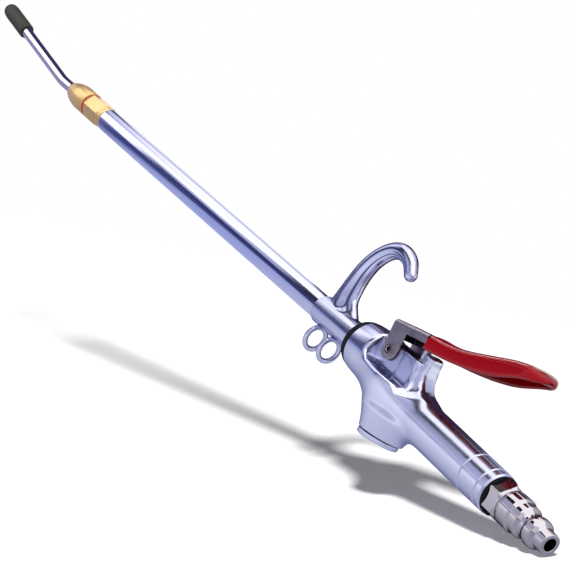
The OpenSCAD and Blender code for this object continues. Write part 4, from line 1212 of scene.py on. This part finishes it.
# %% World
HORIZON, SIDE_WALL, CEILING = (1.02, 1.05, 1.14), (0.62, 0.63, 0.82), (1.7, 1.7, 1.7)
BACK_LOW, BACK_HIGH = (1.25, 1.25, 1.2), (0.75, 0.78, 0.90)
VIEWER_WAY, VIEWER = (-0.814, 0.58, 0.03), (1.0, 1.02, 1.10)
MATT_LEVEL, WHITE = (0.10, 0.10, 0.105), (1.0, 1.0, 1.0)
HORIZON_SPAN, CEILING_SPAN, BACK_RISE = (0.0, 0.14), (0.50, 0.60), (0.1, 0.6)
BACK_SPAN, VIEWER_SPAN = (-0.22, -0.42), (0.70, 0.98)


def studio_world():
    """To mirrors the colour depends on how high and how far back the
    direction points, and on how near it is to the viewer's."""
    w = bpy.data.worlds.new("studio")
    bpy.context.scene.world = w
    w.use_nodes = True
    n, link = w.node_tree.nodes, w.node_tree.links.new
    split = n.new("ShaderNodeSeparateXYZ")
    way = n.new("ShaderNodeTexCoord").outputs["Generated"]
    link(way, split.inputs[0])
    high, deep = split.outputs["Z"], split.outputs["Y"]
    level = map_range(n, link, high, *HORIZON_SPAN)
    wall = mix_colour(n, link, level, HORIZON, SIDE_WALL)
    colour = mix_colour(n, link, map_range(n, link, high, *CEILING_SPAN), wall, CEILING)
    behind = mix_colour(n, link, map_range(n, link, high, *BACK_RISE), BACK_LOW, BACK_HIGH)
    colour = mix_colour(n, link, map_range(n, link, deep, *BACK_SPAN), colour, behind)
    toward = with_vector(n, link, "DOT_PRODUCT", way, VIEWER_WAY)
    viewer = product(n, link, map_range(n, link, toward, *VIEWER_SPAN), level)
    colour = mix_colour(n, link, viewer, colour, VIEWER)
    path = n.new("ShaderNodeLightPath")
    colour = mix_colour(n, link, path.outputs["Is Glossy Ray"], MATT_LEVEL, colour)
    colour = mix_colour(n, link, path.outputs["Is Camera Ray"], colour, WHITE)
    link(colour, n["Background"].inputs["Color"])


studio_world()
print("world:", bpy.context.scene.world.name)

# %% Lamp
LAMP_WAY, LAMP_SPREAD, LAMP_POWER = (0.502, -1.0, -0.979), 9, 4.5


def soft_sun(name, along, spread, strength):
    """A sun whose light runs along a direction; its spread in degrees makes
    the shadow soft. Mirrors do not see it; they see the world instead."""
    lamp = bpy.data.lights.new(name, "SUN")
    lamp.angle, lamp.energy = math.radians(spread), strength
    o = bpy.data.objects.new(name, lamp)
    bpy.context.scene.collection.objects.link(o)
    o.rotation_euler = Vector(along).to_track_quat("-Z", "Y").to_euler()
    o.visible_glossy = False


soft_sun("main_lamp", LAMP_WAY, LAMP_SPREAD, LAMP_POWER)
print("lamp:", LAMP_SPREAD, "degrees wide")

# %% [markdown]
# Camera
#
# The picture is taken from about a metre away with a narrow view. The place,
# the three axes and the focal length in pixels of a 576 pixel frame were
# solved from points on round edges and on the outlines of barrel and handle.

# %% Camera
RIGHT, DOWN = (-0.5012, -0.6900, 0.5222), (-0.4435, -0.3133, -0.8397)
AHEAD, EYE_AT = (0.7430, -0.6525, -0.1489), (-633.7, 708.8, 168.0)
SENSOR, FOCAL_PIXELS, FRAME_PIXELS = 36.0, 3002.95, 576
camera = bpy.data.cameras.new("camera")
camera.sensor_width, camera.lens = SENSOR, SENSOR * FOCAL_PIXELS / FRAME_PIXELS
camera.clip_start, camera.clip_end = 0.01, 100
eye = bpy.data.objects.new("camera", camera)
bpy.context.scene.collection.objects.link(eye)
turn = Matrix([RIGHT, [-v for v in DOWN], [-v for v in AHEAD]]).transposed().to_4x4()
eye.matrix_world = Matrix.Translation(Vector(EYE_AT) * MM) @ turn
bpy.context.scene.camera = eye
bpy.context.scene.view_settings.view_transform = "Standard"
print("focal length:", round(camera.lens, 1), "mm")

# %% Update the scene
bpy.context.view_layer.update()
